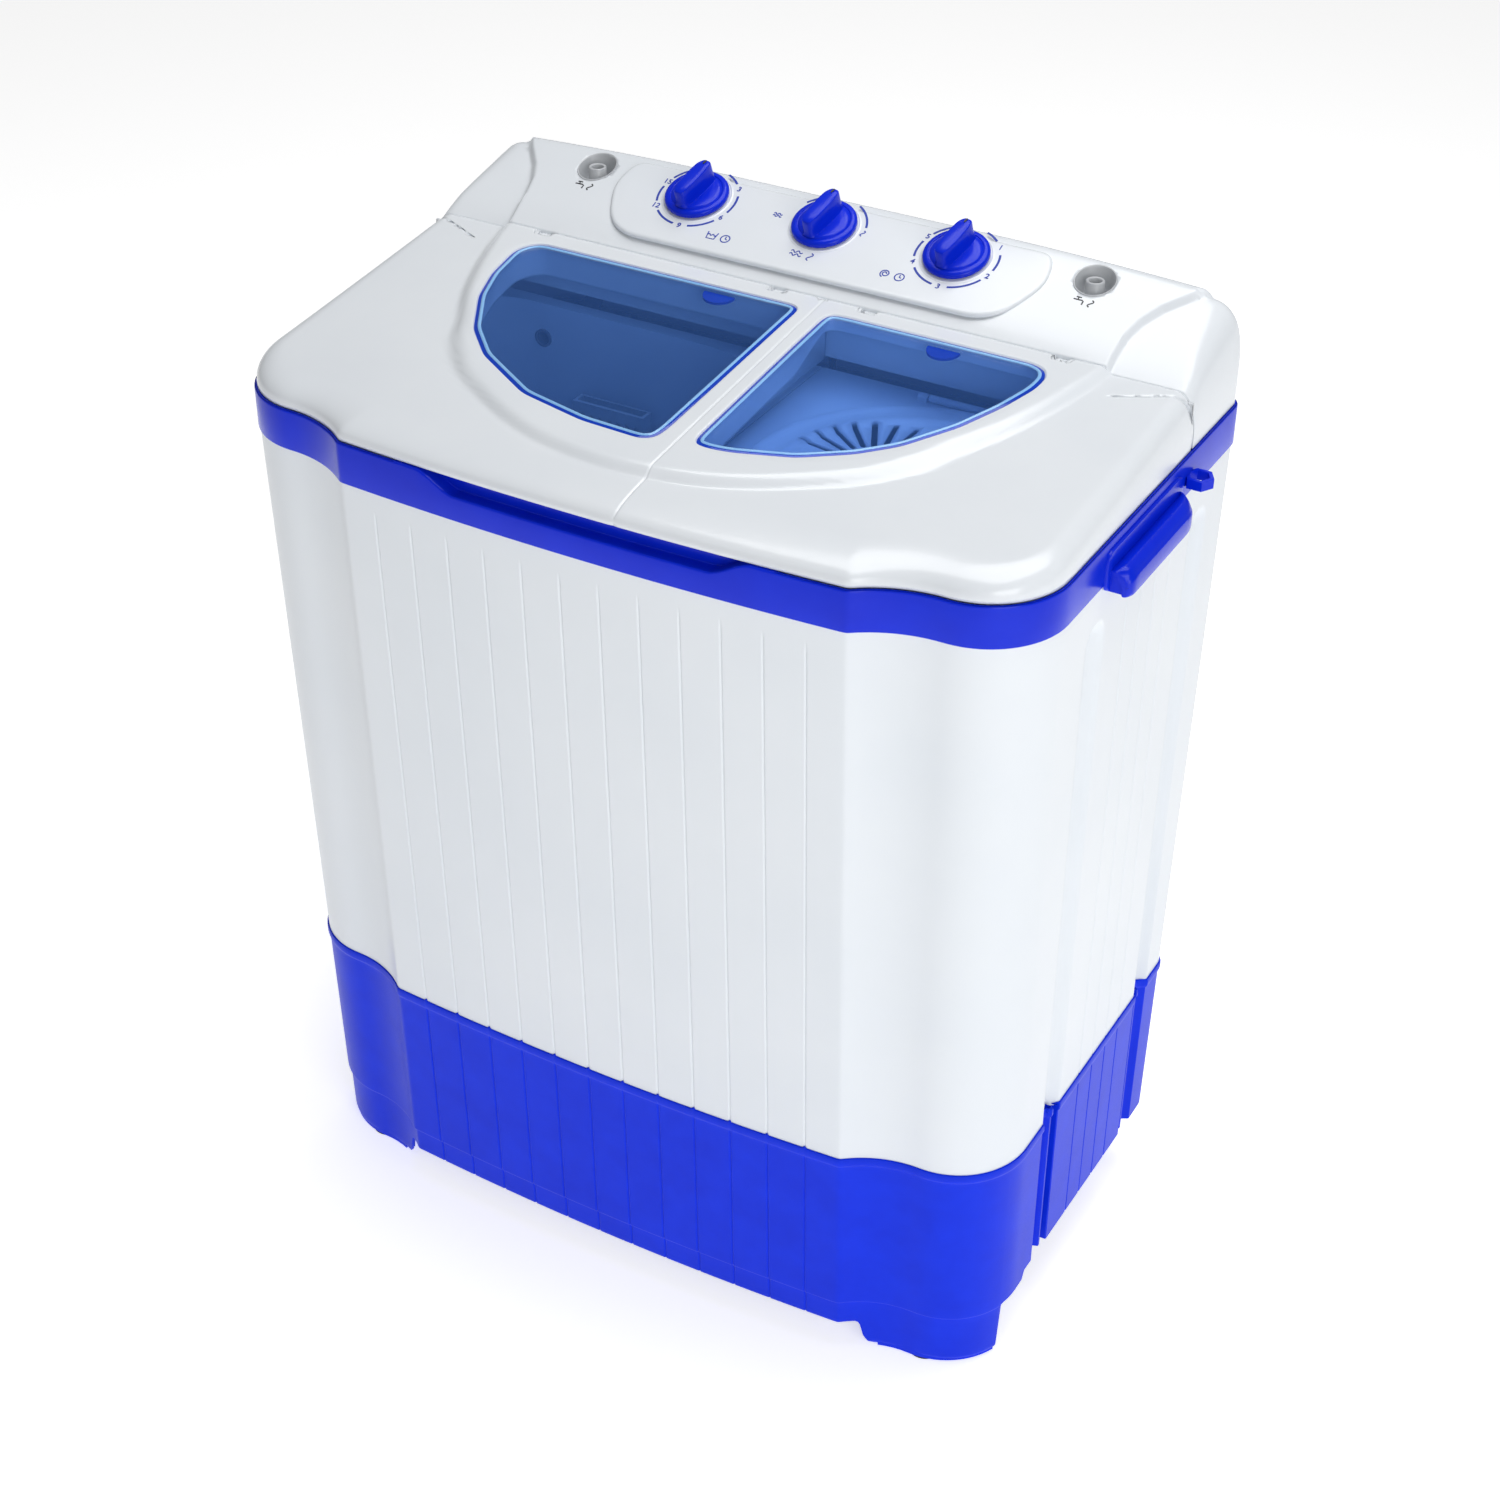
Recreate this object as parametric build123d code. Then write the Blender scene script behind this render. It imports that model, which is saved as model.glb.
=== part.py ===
from build123d import *
import math
import os

# Twin tub washer: a wash tub on the left and a spin basket on the right under two hinged lids,
# a console along the back, and a tapered cabinet on a base with four legs.
# Millimetres, +Z up, front towards -Y. Origin on the floor, at the centre of the footprint.

# Body outline, measured at the top band
body_width = 706.0
body_depth = 431.0
crease_x = 221.5  # the bulged front panel ends in a vertical crease on each side
front_bulge = 7.9
crease_step = 23.0
front_corner = 67.0
rear_corner = 15.0

# Heights
band_top = 778.0
band_bottom = 743.0
base_top = 227.0
skirt_bottom = 32.0
deck_top = 60.0
console_top = 872.0

# Legs: the front pair reach the outer corners, the rear pair stand further in
deck_thickness = 4.0
front_leg_x = (250.0, 400.0)
rear_leg_x = (235.0, 300.0)
leg_y = (115.0, 300.0)
side_bottom = 56.0
pad_height = 3.0
pad_r = 16.0
pad_places = [(-285.0, -138.0), (285.0, -138.0), (-268.0, 160.0), (268.0, 160.0)]

# The cabinet narrows downwards: inset per millimetre below the band
side_taper = 3.9 / (band_bottom - base_top)
end_taper = 17.6 / (band_bottom - base_top)

# Wall thicknesses
wall = 3.0
skin = 2.5
band_proud = 1.5

# Half-round vertical channels in each side
channel_y = (-57.0, 141.0)
channel_r = 15.0
channel_stop = 35.0

# Rear service panel
rear_window = ((-280.0, 280.0), (150.0, 230.0), (262.0, 700.0))
rear_screws = [(x, z) for x in (-288.0, 0.0, 288.0) for z in (252.0, 710.0)]
panel_size = (596.0, 478.0)
panel_middle = 481.0
gland_place = (-240.0, 285.0)

# Finger scoop, handles and hook on the band
scoop_half = 146.0
scoop_depth = 14.0
scoop_reach = 12.0
scoop_ramp = 34.0
handle_y = (-51.0, 82.0)
handle_z = (738.0, 768.0)
handle_out = 20.0
handle_screw_z = 752.0
grip_wall = 4.0
handle_screw_y = (-25.0, 55.0)
hook_y = 106.0
hook_z = (754.0, 762.0)
hook_x = body_width / 2 + 8.0
hook_r = (12.0, 8.6)

# Lids: a raised D-shaped plateau, sloping down to the front, shared by both lids
lid_split = 31.8
lid_gap = 1.2
lid_bottom = 779.2
seam_y = 112.7
plateau_z = 817.9
plateau_slope = 0.0993
plateau_rise = 6.5
tilt = math.degrees(math.atan(plateau_slope))

# Lid hinges: a barrel along the rear edge of each lid, steel pins held in ears on the console
barrel_r = 4.0
hinge_y = seam_y - barrel_r - 0.8
hinge_z = plateau_z + plateau_slope * hinge_y - barrel_r
pin_r = 1.5
run_gap = 0.06
ear_width = 10.0
wash_ears = (-235.0, -10.0)
spin_ears = (72.0, 240.0)

# Windows: corner and mid-curve points of each curved edge, from the inner corner outwards
wash_window_curve = ((18, -133), (-85, -123), (-171, -80), (-222, -14), (-243, 68))
spin_window_curve = ((42, -120), (118, -107), (186, -58), (226, 12), (244, 75))
window_rear = 94.0
window_margin = 10.0
window_bevel = 16.0
clip_x = {"wash": -52.0, "spin": 150.0}

# Console face
face_angle = 21.0
face_y = 174.5
face_z = 859.5
knob_x = {"wash_timer": -124.4, "flow_switch": -3.7, "spin_timer": 116.2}
knob_r = 27.5
inlet_x = 231.0
inlet_y = 186.0
inlet_z = 865.0
cup_r = 17.5
cup_rim = 5.0

# Tubs
tub_floor = 300.0
flange_z = 768.0
wash_x = (-325.0, 12.0)
wash_y = (-170.0, 98.0)
wash_centre = (-156.0, -37.0)
spin_centre = (186.0, -42.0)
spin_tub_r = 143.0
basket_r = 124.0
basket_z = (335.0, 715.0)
rim_thickness = 3.5
rim_rear = 108.0
inlet_hose_z = 740.0

# Safety lid over the spin chamber
inner_hinge_y = 95.0
inner_hinge_z = flange_z + 2 * rim_thickness
inner_ears = (spin_centre[0] - 56.0, spin_centre[0] + 56.0)
inner_lid_r = 131.0
inner_lid_low = flange_z + 4.0

# Drive
shaft_r = 9.0
drum_r = 50.0
belt_z = (211.0, 219.0)
pulley_r = 72.0
motor_pulley_r = 18.0
motor_centre = (-10.0, 20.0)
belt_gap = 0.4
belt_thickness = 4.0
valve_centre = (20.0, 148.0)
outlet_x = 250.0
outlet_z = 150.0
brake_pivot = (spin_centre[0] + 66.0, spin_centre[1] + 66.0)
capacitor_place = (-240.0, 120.0)

# A reach longer than the whole body, for cutting tools
far = 400.0


def save(name, shape):
    """Writes one sub-part to its own STEP file."""
    shape.label = name
    export_step(shape, f"parts/{name}.step")


def solids(*shapes):
    """Joins separate solids into one group."""
    return Compound(children=list(shapes))


def disc(x, y, z0, z1, radius):
    """A vertical cylinder between two heights."""
    return Pos(x, y, (z0 + z1) / 2) * Cylinder(radius, z1 - z0)


def brick(x, y, z):
    """A box between pairs of limits."""
    size = (x[1] - x[0], y[1] - y[0], z[1] - z[0])
    centre = ((x[0] + x[1]) / 2, (y[0] + y[1]) / 2, (z[0] + z[1]) / 2)
    return Pos(*centre) * Box(*size)


def rod(start, end, radius):
    """A cylinder from one point to another."""
    axis = Vector(*end) - Vector(*start)
    middle = (Vector(*start) + Vector(*end)) * 0.5
    plane = Plane(origin=middle, z_dir=axis)
    return plane * Cylinder(radius, axis.length)


def outline(z, side=0.0, end=0.0):
    """The body's plan outline at one height, inset at the sides and at the front and back."""
    half = body_width / 2 - side
    front = -body_depth / 2 + end
    rear = body_depth / 2 - end
    crease_y = front + front_bulge
    shoulder_y = crease_y + crease_step
    shoulder_x = half - front_corner
    run = shoulder_x - crease_x
    cove = (run**2 + crease_step**2) / (2 * crease_step)
    sweep = math.asin(run / cove) / 2
    cove_x = shoulder_x - cove * math.sin(sweep)
    cove_y = shoulder_y - cove * (1 - math.cos(sweep))
    side_y = shoulder_y + front_corner
    bend = front_corner * (1 - math.sqrt(0.5))
    back_bend = rear_corner * (1 - math.sqrt(0.5))
    edges = [ThreePointArc((-crease_x, crease_y), (0, front), (crease_x, crease_y))]
    for s in (1, -1):
        edges += [
            ThreePointArc((s * crease_x, crease_y), (s * cove_x, cove_y), (s * shoulder_x, shoulder_y)),
            ThreePointArc(
                (s * shoulder_x, shoulder_y), (s * (half - bend), shoulder_y + bend), (s * half, side_y)
            ),
            Line((s * half, side_y), (s * half, rear - rear_corner)),
            ThreePointArc(
                (s * half, rear - rear_corner),
                (s * (half - back_bend), rear - back_bend),
                (s * (half - rear_corner), rear),
            ),
            Line((s * (half - rear_corner), rear), (0, rear)),
        ]
    return Pos(0, 0, z) * make_face(edges)


def block(z0, z1, side=0.0, end=0.0):
    """A solid of the body's outline between two heights, narrowing below the band."""
    wires = []
    for z in (z0, z1):
        drop = max(0.0, band_bottom - z)
        face = outline(z, side + drop * side_taper, end + drop * end_taper)
        wires.append(face.face().outer_wire())
    return Solid.make_loft(wires, True)


def shell(z0, z1, thick, side=0.0, end=0.0):
    """An open ring of the body's outline with a wall of the given thickness."""
    return block(z0, z1, side, end) - block(z0, z1, side + thick, end + thick)


def add_channels(part, z0, z1):
    """Presses the two half-round vertical channels into each side wall."""
    solid = block(z0, z1, band_proud, band_proud)
    for s in (-1, 1):
        for y in channel_y:
            x = s * body_width / 2
            part = part + (disc(x, y, z0, z1, channel_r + skin) & solid)
            part = part - disc(x, y, z0 - 1, z1 + 1, channel_r)
    return part


# ---- Base and feet


def base_legs():
    """Four legs that plug into the skirt from below."""
    corners = Compound(
        [
            brick(sorted((s * reach[0], s * reach[1])), sorted((t * leg_y[0], t * leg_y[1])), (0, deck_top))
            for t, reach in ((-1, front_leg_x), (1, rear_leg_x))
            for s in (-1, 1)
        ]
    )
    low = band_proud + 2
    high = band_proud + wall
    outside = block(pad_height, skirt_bottom, low, low) & corners
    inside = block(skirt_bottom, deck_top - deck_thickness, high, high) & corners
    part = outside + inside
    for s in (-1, 1):
        for y in channel_y:
            part = part - disc(s * body_width / 2, y, 0, deck_top, channel_r + skin)
    return part


def base_skirt():
    """The blue plastic base: walls and a deck for the motors."""
    part = shell(skirt_bottom, base_top, wall, band_proud, band_proud)
    part = add_channels(part, skirt_bottom, base_top)
    for s in (-1, 1):
        side = sorted((s * rear_leg_x[1], s * far))
        part = part - brick(side, (-leg_y[0] - 2, far), (0, side_bottom))
    deck = block(deck_top - deck_thickness, deck_top, band_proud + 1, band_proud + 1)
    for s in (-1, 1):
        for y in channel_y:
            deck = deck - disc(s * body_width / 2, y, 0, 2 * deck_top, channel_r)
    part = part + deck
    return part - rod((outlet_x, 170, outlet_z), (outlet_x, 220, outlet_z), 13)


def foot_pads():
    """Four rubber pads under the legs."""
    return solids(*[disc(x, y, 0, pad_height, pad_r) for x, y in pad_places])


# ---- Cabinet

def rear_y(z, inset):
    """The y of the cabinet's rear face at one height."""
    return body_depth / 2 - inset - (band_bottom - z) * end_taper


def screw_row(radius, start, end):
    """Cylinders along Y at the rear panel's screw places, measured from the rear face."""
    return Compound(
        [
            rod((x, rear_y(z, band_proud) + start, z), (x, rear_y(z, band_proud) + end, z), radius)
            for x, z in rear_screws
        ]
    )


def cabinet_wrap():
    """The white tapered cabinet, open at the back behind the service panel."""
    part = shell(base_top, band_bottom, skin, band_proud, band_proud)
    part = add_channels(part, base_top, band_bottom - channel_stop)
    part = part - brick(*rear_window)
    return part - screw_row(1.7, -10, 5)


def rear_panel():
    """The service panel, screwed on behind the cabinet's rear opening."""
    lean = math.degrees(math.atan(end_taper))
    place = Pos(0, rear_y(panel_middle, band_proud) - 1.6 * skin, panel_middle) * Rot(-lean, 0, 0)
    part = place * Box(panel_size[0], skin, panel_size[1])
    part = part - screw_row(1.65, -12, 5)
    x, z = gland_place
    return part - rod((x, 150, z), (x, 230, z), 7)


def rear_panel_screws():
    """Six pan-head screws that hold the rear panel."""
    heads = [
        rod((x, rear_y(z, band_proud) - 7, z), (x, rear_y(z, band_proud), z), 1.65)
        + rod((x, rear_y(z, band_proud) + 0.2, z), (x, rear_y(z, band_proud) + 2, z), 4)
        + rod((x, rear_y(z, band_proud) - 0.2, z), (x, rear_y(z, band_proud) + 1, z), 1.65)
        for x, z in rear_screws
    ]
    return solids(*heads)


def cord_gland():
    """The strain-relief gland where the mains cord leaves, without the cord."""
    x, z = gland_place
    y = rear_y(z, band_proud)
    part = rod((x, y - 16, z), (x, y + 9, z), 7)
    part = part + rod((x, y - 11, z), (x, y - 6, z), 11)
    return part - rod((x, y - 20, z), (x, y + 20, z), 3.6)


# ---- Top band, handles and hook

def scoop():
    """The finger recess under the lids' front edge."""
    front = -body_depth / 2
    profile = Plane.XZ.offset(-front + 20) * make_face(
        Polyline(
            (-scoop_half, band_top + 1),
            (-scoop_half + scoop_ramp, band_top - scoop_depth),
            (scoop_half - scoop_ramp, band_top - scoop_depth),
            (scoop_half, band_top + 1),
            close=True,
        )
    )
    return extrude(profile, amount=-(20 + scoop_reach))


def top_band():
    """The blue band round the top, with the ledge that carries the tubs."""
    part = shell(band_bottom, band_top, wall)
    part = part + shell(flange_z - 4, flange_z, 16)
    pad = block(band_bottom, band_top, 1, 1) & brick((-165, 165), (-300, -body_depth / 2 + 22), (700, 800))
    part = part + pad - scoop()
    for s in (-1, 1):
        x = s * body_width / 2
        for y in handle_screw_y:
            part = part - rod((x - 10, y, handle_screw_z), (x + 10, y, handle_screw_z), 2)
    return part


def side_handle(s):
    """A carrying handle: a rounded bar with a finger space open downwards."""
    inner = s * body_width / 2
    outer = inner + s * handle_out
    part = brick(sorted((inner, outer)), handle_y, handle_z)
    part = fillet(part.edges().filter_by(Axis.Z).group_by(Axis.X)[-1 if s > 0 else 0], 8)
    outer_face = part.faces().sort_by(Axis.X)[-1 if s > 0 else 0]
    part = fillet(outer_face.edges().group_by(Axis.Z)[-1], 3)
    grip = brick(
        sorted((inner + s * grip_wall, outer - s * grip_wall)),
        (handle_y[0] + grip_wall, handle_y[1] - grip_wall),
        (handle_z[0] - 5, handle_z[1] - 6),
    )
    part = part - grip
    for y in handle_screw_y:
        part = part - rod((inner - s, y, handle_screw_z), (inner + s * grip_wall, y, handle_screw_z), 2)
    return part


def handle_screws():
    """Screws through the band into both handles."""
    screws = []
    for s in (-1, 1):
        x = s * body_width / 2
        for y in handle_screw_y:
            z = handle_screw_z
            shank = rod((x - s * wall, y, z), (x + s * grip_wall, y, z), 2)
            head = rod((x - s * (wall + 2.2), y, z), (x - s * wall, y, z), 4)
            screws.append(shank + head)
    return solids(*screws)


def hose_hook():
    """The hexagonal loop that parks a hose end."""
    ring = RegularPolygon(hook_r[0], 6) - RegularPolygon(hook_r[1], 6)
    part = Pos(hook_x, hook_y, hook_z[0]) * extrude(ring, amount=hook_z[1] - hook_z[0])
    return part - brick((300, body_width / 2), (0, 215), (700, 800))


# ---- Tubs


def tub_rim(x0, x1):
    """A tub's flat rim, resting on the band's ledge and clear of the finger recess."""
    rim = block(flange_z, flange_z + rim_thickness, 4.5, 4.5)
    rim = rim & brick((x0, x1), (-far, rim_rear), (700, 800))
    return rim - brick((-166, 166), (-300, -body_depth / 2 + 22.5), (700, 800))


def wash_tub():
    """The wash tub with its rim, pulsator bearing hole and drain hole."""
    rim = tub_rim(-400, lid_split - 0.5)
    width = wash_x[1] - wash_x[0]
    depth = wash_y[1] - wash_y[0]
    centre = Pos((wash_x[0] + wash_x[1]) / 2, (wash_y[0] + wash_y[1]) / 2, 0)
    low = centre * Pos(0, 0, tub_floor) * RectangleRounded(width - 24, depth - 16, 84)
    high = centre * Pos(0, 0, flange_z + rim_thickness) * RectangleRounded(width, depth, 84)
    low_in = centre * Pos(0, 0, tub_floor + wall) * RectangleRounded(width - 30, depth - 22, 81)
    high_in = centre * Pos(0, 0, flange_z + rim_thickness) * RectangleRounded(width - 6, depth - 6, 81)
    outer = Solid.make_loft([low.face().outer_wire(), high.face().outer_wire()], True)
    inner = Solid.make_loft([low_in.face().outer_wire(), high_in.face().outer_wire()], True)
    part = rim + outer - inner
    part = part - disc(*wash_centre, tub_floor - 1, tub_floor + 5, 16)
    part = part - disc(-12, 72, tub_floor - 1, tub_floor + 5, 13)
    return part - rod((-inlet_x, 60, inlet_hose_z), (-inlet_x, 130, inlet_hose_z), 8)


def spin_outer_tub():
    """The fixed chamber round the spin basket, with its rim and inner-lid hinge ears."""
    rim = tub_rim(lid_split + 0.5, 400)
    part = rim + disc(*spin_centre, tub_floor, flange_z + 1, spin_tub_r)
    part = part - disc(*spin_centre, tub_floor + wall, flange_z, spin_tub_r - wall)
    part = part - disc(*spin_centre, flange_z - 1, flange_z + 9, 126)
    part = part - disc(*spin_centre, tub_floor - 1, tub_floor + 5, 20)
    part = part - disc(72, 0, tub_floor - 1, tub_floor + 5, 9)
    part = part - rod((inlet_x, 60, inlet_hose_z), (inlet_x, 130, inlet_hose_z), 8)
    for x in inner_ears:
        ear = brick((x - 4, x + 4), (inner_hinge_y - 3, inner_hinge_y + 3), (flange_z + 3, inner_hinge_z))
        ear = ear + rod((x - 4, inner_hinge_y, inner_hinge_z), (x + 4, inner_hinge_y, inner_hinge_z), 3)
        part = part + ear
    return part - rod((100, inner_hinge_y, inner_hinge_z), (300, inner_hinge_y, inner_hinge_z), pin_r)


def spin_inner_lid():
    """The flat safety lid over the spin chamber, with drain slots."""
    low = inner_lid_low
    part = disc(*spin_centre, low, low + 4, inner_lid_r)
    span = (spin_centre[0] - 50, spin_centre[0] + 50)
    part = part + brick(span, (60, inner_hinge_y), (low, low + 4))
    part = part + rod((span[0], inner_hinge_y, inner_hinge_z), (span[1], inner_hinge_y, inner_hinge_z), 3)
    for step in range(8):
        slot = Rot(0, 0, -128 + 11 * step) * Pos(92, 0, low) * Box(34, 5, 20)
        part = part - Pos(*spin_centre, 0) * slot
    bore = rod((span[0] - 1, inner_hinge_y, inner_hinge_z), (span[1] + 1, inner_hinge_y, inner_hinge_z), 1.56)
    return part - bore


def inner_lid_pin():
    """The steel pin of the safety lid."""
    ends = (inner_ears[0] - 4, inner_ears[1] + 4)
    return rod((ends[0], inner_hinge_y, inner_hinge_z), (ends[1], inner_hinge_y, inner_hinge_z), pin_r)


def lint_filter():
    """The lint trap clipped to the wash tub's rear wall."""
    rear = wash_y[1] - 10
    part = brick((-190, -120), (rear - 14, rear), (590, 700))
    part = part - brick((-187, -123), (rear - 11, rear - 2), (594, 705))
    for step in range(7):
        x = -183 + 9 * step
        part = part - brick((x, x + 5), (rear - 20, rear - 9), (602, 690))
    return part


def inlet_hose(s):
    """The hose from an inlet cup down into its tub."""
    start = (s * inlet_x, inlet_y, inlet_z - 19)
    corner = (s * inlet_x, inlet_y, inlet_hose_z)
    end = (s * inlet_x, 93 if s < 0 else 91, inlet_hose_z)
    path = FilletPolyline(start, corner, end, radius=24)
    ring = Plane(origin=start, z_dir=(0, 0, -1)) * (Circle(8) - Circle(6))
    return sweep(ring, path)


# ---- Console


def console_profile(inset, low):
    """The console's side profile, from the lids' seam over the top edge to the back."""
    face = make_face(
        Polyline(
            (seam_y, low),
            (seam_y, 829.0),
            (138.0, 845.5),
            (200.0, 869.3),
            (208.0, console_top),
            (body_depth / 2, 867.0),
            (body_depth / 2, low),
            close=True,
        )
    )
    return offset(face, -inset, kind=Kind.INTERSECTION) if inset else face


def console_solid(inset, low):
    """A solid of the console's profile with rounded ends."""
    half = body_width / 2 - 4 - inset
    ridge = extrude(Plane.YZ * console_profile(inset, low), amount=half, both=True)
    corner = 40.0 - inset
    front = RectangleRounded(2 * half, 2 * (console_top + 1 - inset - 700), corner)
    ends = extrude(Plane.XZ * Pos(0, 700) * front, amount=300, both=True)
    plan = block(band_top - 20, 900, 4 + inset, inset)
    return ridge & ends & plan


def face_place(x):
    """A place on the sloping console face: local Z is its normal and local Y points up it."""
    return Pos(x, face_y, face_z) * Rot(face_angle, 0, 0)


def console_cover():
    """The hollow console with holes for shafts and inlets, and the ears of the lid hinges."""
    part = console_solid(0, band_top) - console_solid(wall, band_top - 30)
    for x in knob_x.values():
        part = part - face_place(x) * Cylinder(6, 40)
    for s in (-1, 1):
        part = part - disc(s * inlet_x, inlet_y, 800, 900, cup_r)
    for x in wash_ears + spin_ears:
        half = ear_width / 2
        ear = rod((x - half, hinge_y, hinge_z), (x + half, hinge_y, hinge_z), barrel_r - 0.3)
        arm = brick((x - half, x + half), (hinge_y, seam_y + 1), (hinge_z - 3.7, hinge_z + 2))
        part = part + ear + arm
    for x in wash_ears + spin_ears:
        part = part - rod((x - 8, hinge_y, hinge_z), (x + 8, hinge_y, hinge_z), pin_r)
    return part


def lid_hinge_pins():
    """Four steel pins, two for each lid."""
    return solids(
        *[rod((x - 15, hinge_y, hinge_z), (x + 15, hinge_y, hinge_z), pin_r) for x in wash_ears + spin_ears]
    )


def knob_plate():
    """The raised panel round the three knobs."""
    middle = face_place(knob_x["flow_switch"])
    plate = middle * Pos(0, -4, 0.2) * extrude(RectangleRounded(366, 62, 14), amount=1.6)
    for x in knob_x.values():
        plate = plate - face_place(x) * Cylinder(6, 40)
    return plate


def inlet_cup(s):
    """A grey inlet cup with the short spigot that a supply hose pushes onto."""
    x = s * inlet_x
    top = inlet_z
    part = disc(x, inlet_y, top - 20, top + cup_rim, cup_r)
    part = part - disc(x, inlet_y, top - 18, top + 10, cup_r - 1.8)
    part = part + disc(x, inlet_y, top - 20, top, 8)
    return part - disc(x, inlet_y, top - 30, top + 10, 5.5) - disc(x, inlet_y, top - 30, top - 18.99, 8)


def switch(name):
    """A timer or selector body under the console face."""
    depth = {"wash_timer": 30, "flow_switch": 22, "spin_timer": 28}[name]
    part = Pos(0, -2, -3.4 - depth / 2) * Box(42, 40, depth)
    part = part - Pos(0, 0, -depth / 2) * Cylinder(3 + run_gap, depth - 2)
    part = part + Pos(27, -2, -5.4) * Box(12, 14, 2.5) + Pos(-27, -2, -5.4) * Box(12, 14, 2.5)
    return face_place(knob_x[name]) * part


def switch_shaft(name):
    """The turning shaft of a timer or selector."""
    return face_place(knob_x[name]) * Pos(0, 0, -5) * Cylinder(3, 24)


def knob(name):
    """A control knob: a flat disc with a tall grip that points up the console."""
    low = 3.0
    part = Pos(0, 0, low + 4) * Cylinder(knob_r, 8)
    part = chamfer(part.edges().group_by(Axis.Z)[-1], 1.5)
    grip = Plane.YZ.offset(-6.5) * make_face(
        Polyline((-22, low + 7), (-19, low + 15), (19, low + 20), (24, low + 16), (25, low + 7), close=True)
    )
    part = part + extrude(grip, amount=13)
    part = part - Cylinder(3, 2 * 7)
    return face_place(knob_x[name]) * part


# ---- Lids


def slab(low, high):
    """A layer parallel to the plateau, between two heights measured from its top surface."""
    place = Pos(0, 0, plateau_z) * Rot(tilt, 0, 0) * Pos(0, 0, (low + high) / 2)
    return place * Box(1000, 800, high - low)


def plateau(inset):
    """A tall prism of the D-shaped plateau round both windows."""
    shrink = 1 - inset / 270
    curve = Spline(
        *[
            (x * shrink, (y + 112) * shrink - 112)
            for x, y in (
                (-275, 130),
                (-250, 25),
                (-218, -45),
                (-178, -98),
                (-105, -143),
                (0, -164),
                (105, -143),
                (178, -98),
                (218, -45),
                (250, 25),
                (275, 130),
            )
        ]
    )
    face = make_face([curve, Line((-275 * shrink, 242 * shrink - 112), (275 * shrink, 242 * shrink - 112))])
    return Pos(0, 0, 700) * extrude(face, amount=200)


def window_prism(curve, grow):
    """A tall prism of a window: straight rear and inner edges and a curved outer edge."""
    side = 1 if curve[0][0] > lid_split else -1
    inner_x = lid_split + side * window_margin
    bevel_x = curve[-1][0] - side * window_bevel
    face = make_face(
        [
            ThreePointArc(*curve[:3]),
            ThreePointArc(*curve[2:]),
            Polyline(
                curve[-1],
                (bevel_x, window_rear),
                (inner_x, window_rear),
                (inner_x, curve[0][1] + 6),
                curve[0],
            ),
        ]
    )
    if grow:
        face = offset(face, grow, kind=Kind.ARC)
    return Pos(0, 0, 700) * extrude(face, amount=200)


def lid_side(inset, wash):
    """The half of the lid area that belongs to one lid, up to the hinge line."""
    edge = lid_split - lid_gap / 2 - inset if wash else lid_split + lid_gap / 2 + inset
    span = (-500, edge) if wash else (edge, 500)
    return brick(span, (-400, hinge_y), (lid_bottom - 10, 900))


def lid_form(inset, wash, low):
    """The solid form of a lid before it is hollowed."""
    body = block(low, 860, 5 + inset, 4 + inset) & lid_side(inset, wash)
    base = body & slab(-120, -plateau_rise - inset)
    raised = body & slab(-120, -inset) & plateau(inset)
    return base, raised


def lid_shell(wash):
    """A hollow lid with a window opening and a hinge barrel."""
    base, raised = lid_form(0, wash, lid_bottom)
    base_in, raised_in = lid_form(skin, wash, lid_bottom - 10)
    curve = wash_window_curve if wash else spin_window_curve
    part = base + raised - base_in - raised_in
    part = part - window_prism(curve, -5)
    part = part - (window_prism(curve, 0.0) & slab(-1.6, 5))
    span = (-268, lid_split - lid_gap / 2) if wash else (lid_split + lid_gap / 2, 268)
    barrel = rod((span[0], hinge_y, hinge_z), (span[1], hinge_y, hinge_z), barrel_r)
    part = part + barrel
    for x in wash_ears if wash else spin_ears:
        half = ear_width / 2 + 0.5
        part = part - brick((x - half, x + half), (hinge_y - 10, hinge_y + 8), (hinge_z - 9, hinge_z + 9))
        part = part - rod((x - 15.5, hinge_y, hinge_z), (x + 15.5, hinge_y, hinge_z), pin_r + run_gap)
    return part


def window(wash):
    """A translucent window with a raised rim, set into the lid."""
    curve = wash_window_curve if wash else spin_window_curve
    pane = window_prism(curve, -0.2) & slab(-1.6, 0.8)
    rim = (window_prism(curve, -1) - window_prism(curve, -6)) & slab(0.8, 3.2)
    return pane + rim


def window_clip(wash):
    """The small half-round clip under a window's rear edge."""
    x = clip_x["wash" if wash else "spin"]
    front_half = brick((-far, far), (0, window_rear - 8), (700, 900))
    tongue = disc(x, window_rear - 8, 760, 860, 14) & front_half
    return tongue & slab(-3.6, -1.6)


# ---- Wash drive


def pulsator():
    """The ribbed disc that turns the water."""
    x, y = wash_centre
    part = disc(x, y, 307, 314, 118)
    part = part + disc(x, y, 314, 332, 30)
    for step in range(6):
        vane = Rot(0, 0, 60 * step) * Pos(70, 0, 321) * Box(84, 12, 16)
        part = part + Pos(x, y, 0) * vane
    return part - disc(x, y, 300, 325, 7)


def pulsator_shaft():
    """The shaft from the large pulley up to the pulsator."""
    return disc(*wash_centre, 204, 325, 7)


def wash_bearing_housing():
    """The sealed bearing housing under the wash tub."""
    part = disc(*wash_centre, 228, 300, 28) + disc(*wash_centre, 292, 300, 52)
    part = part + disc(*wash_centre, 300, 305, 16)
    return part - disc(*wash_centre, 200, 310, 7 + run_gap)


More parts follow.
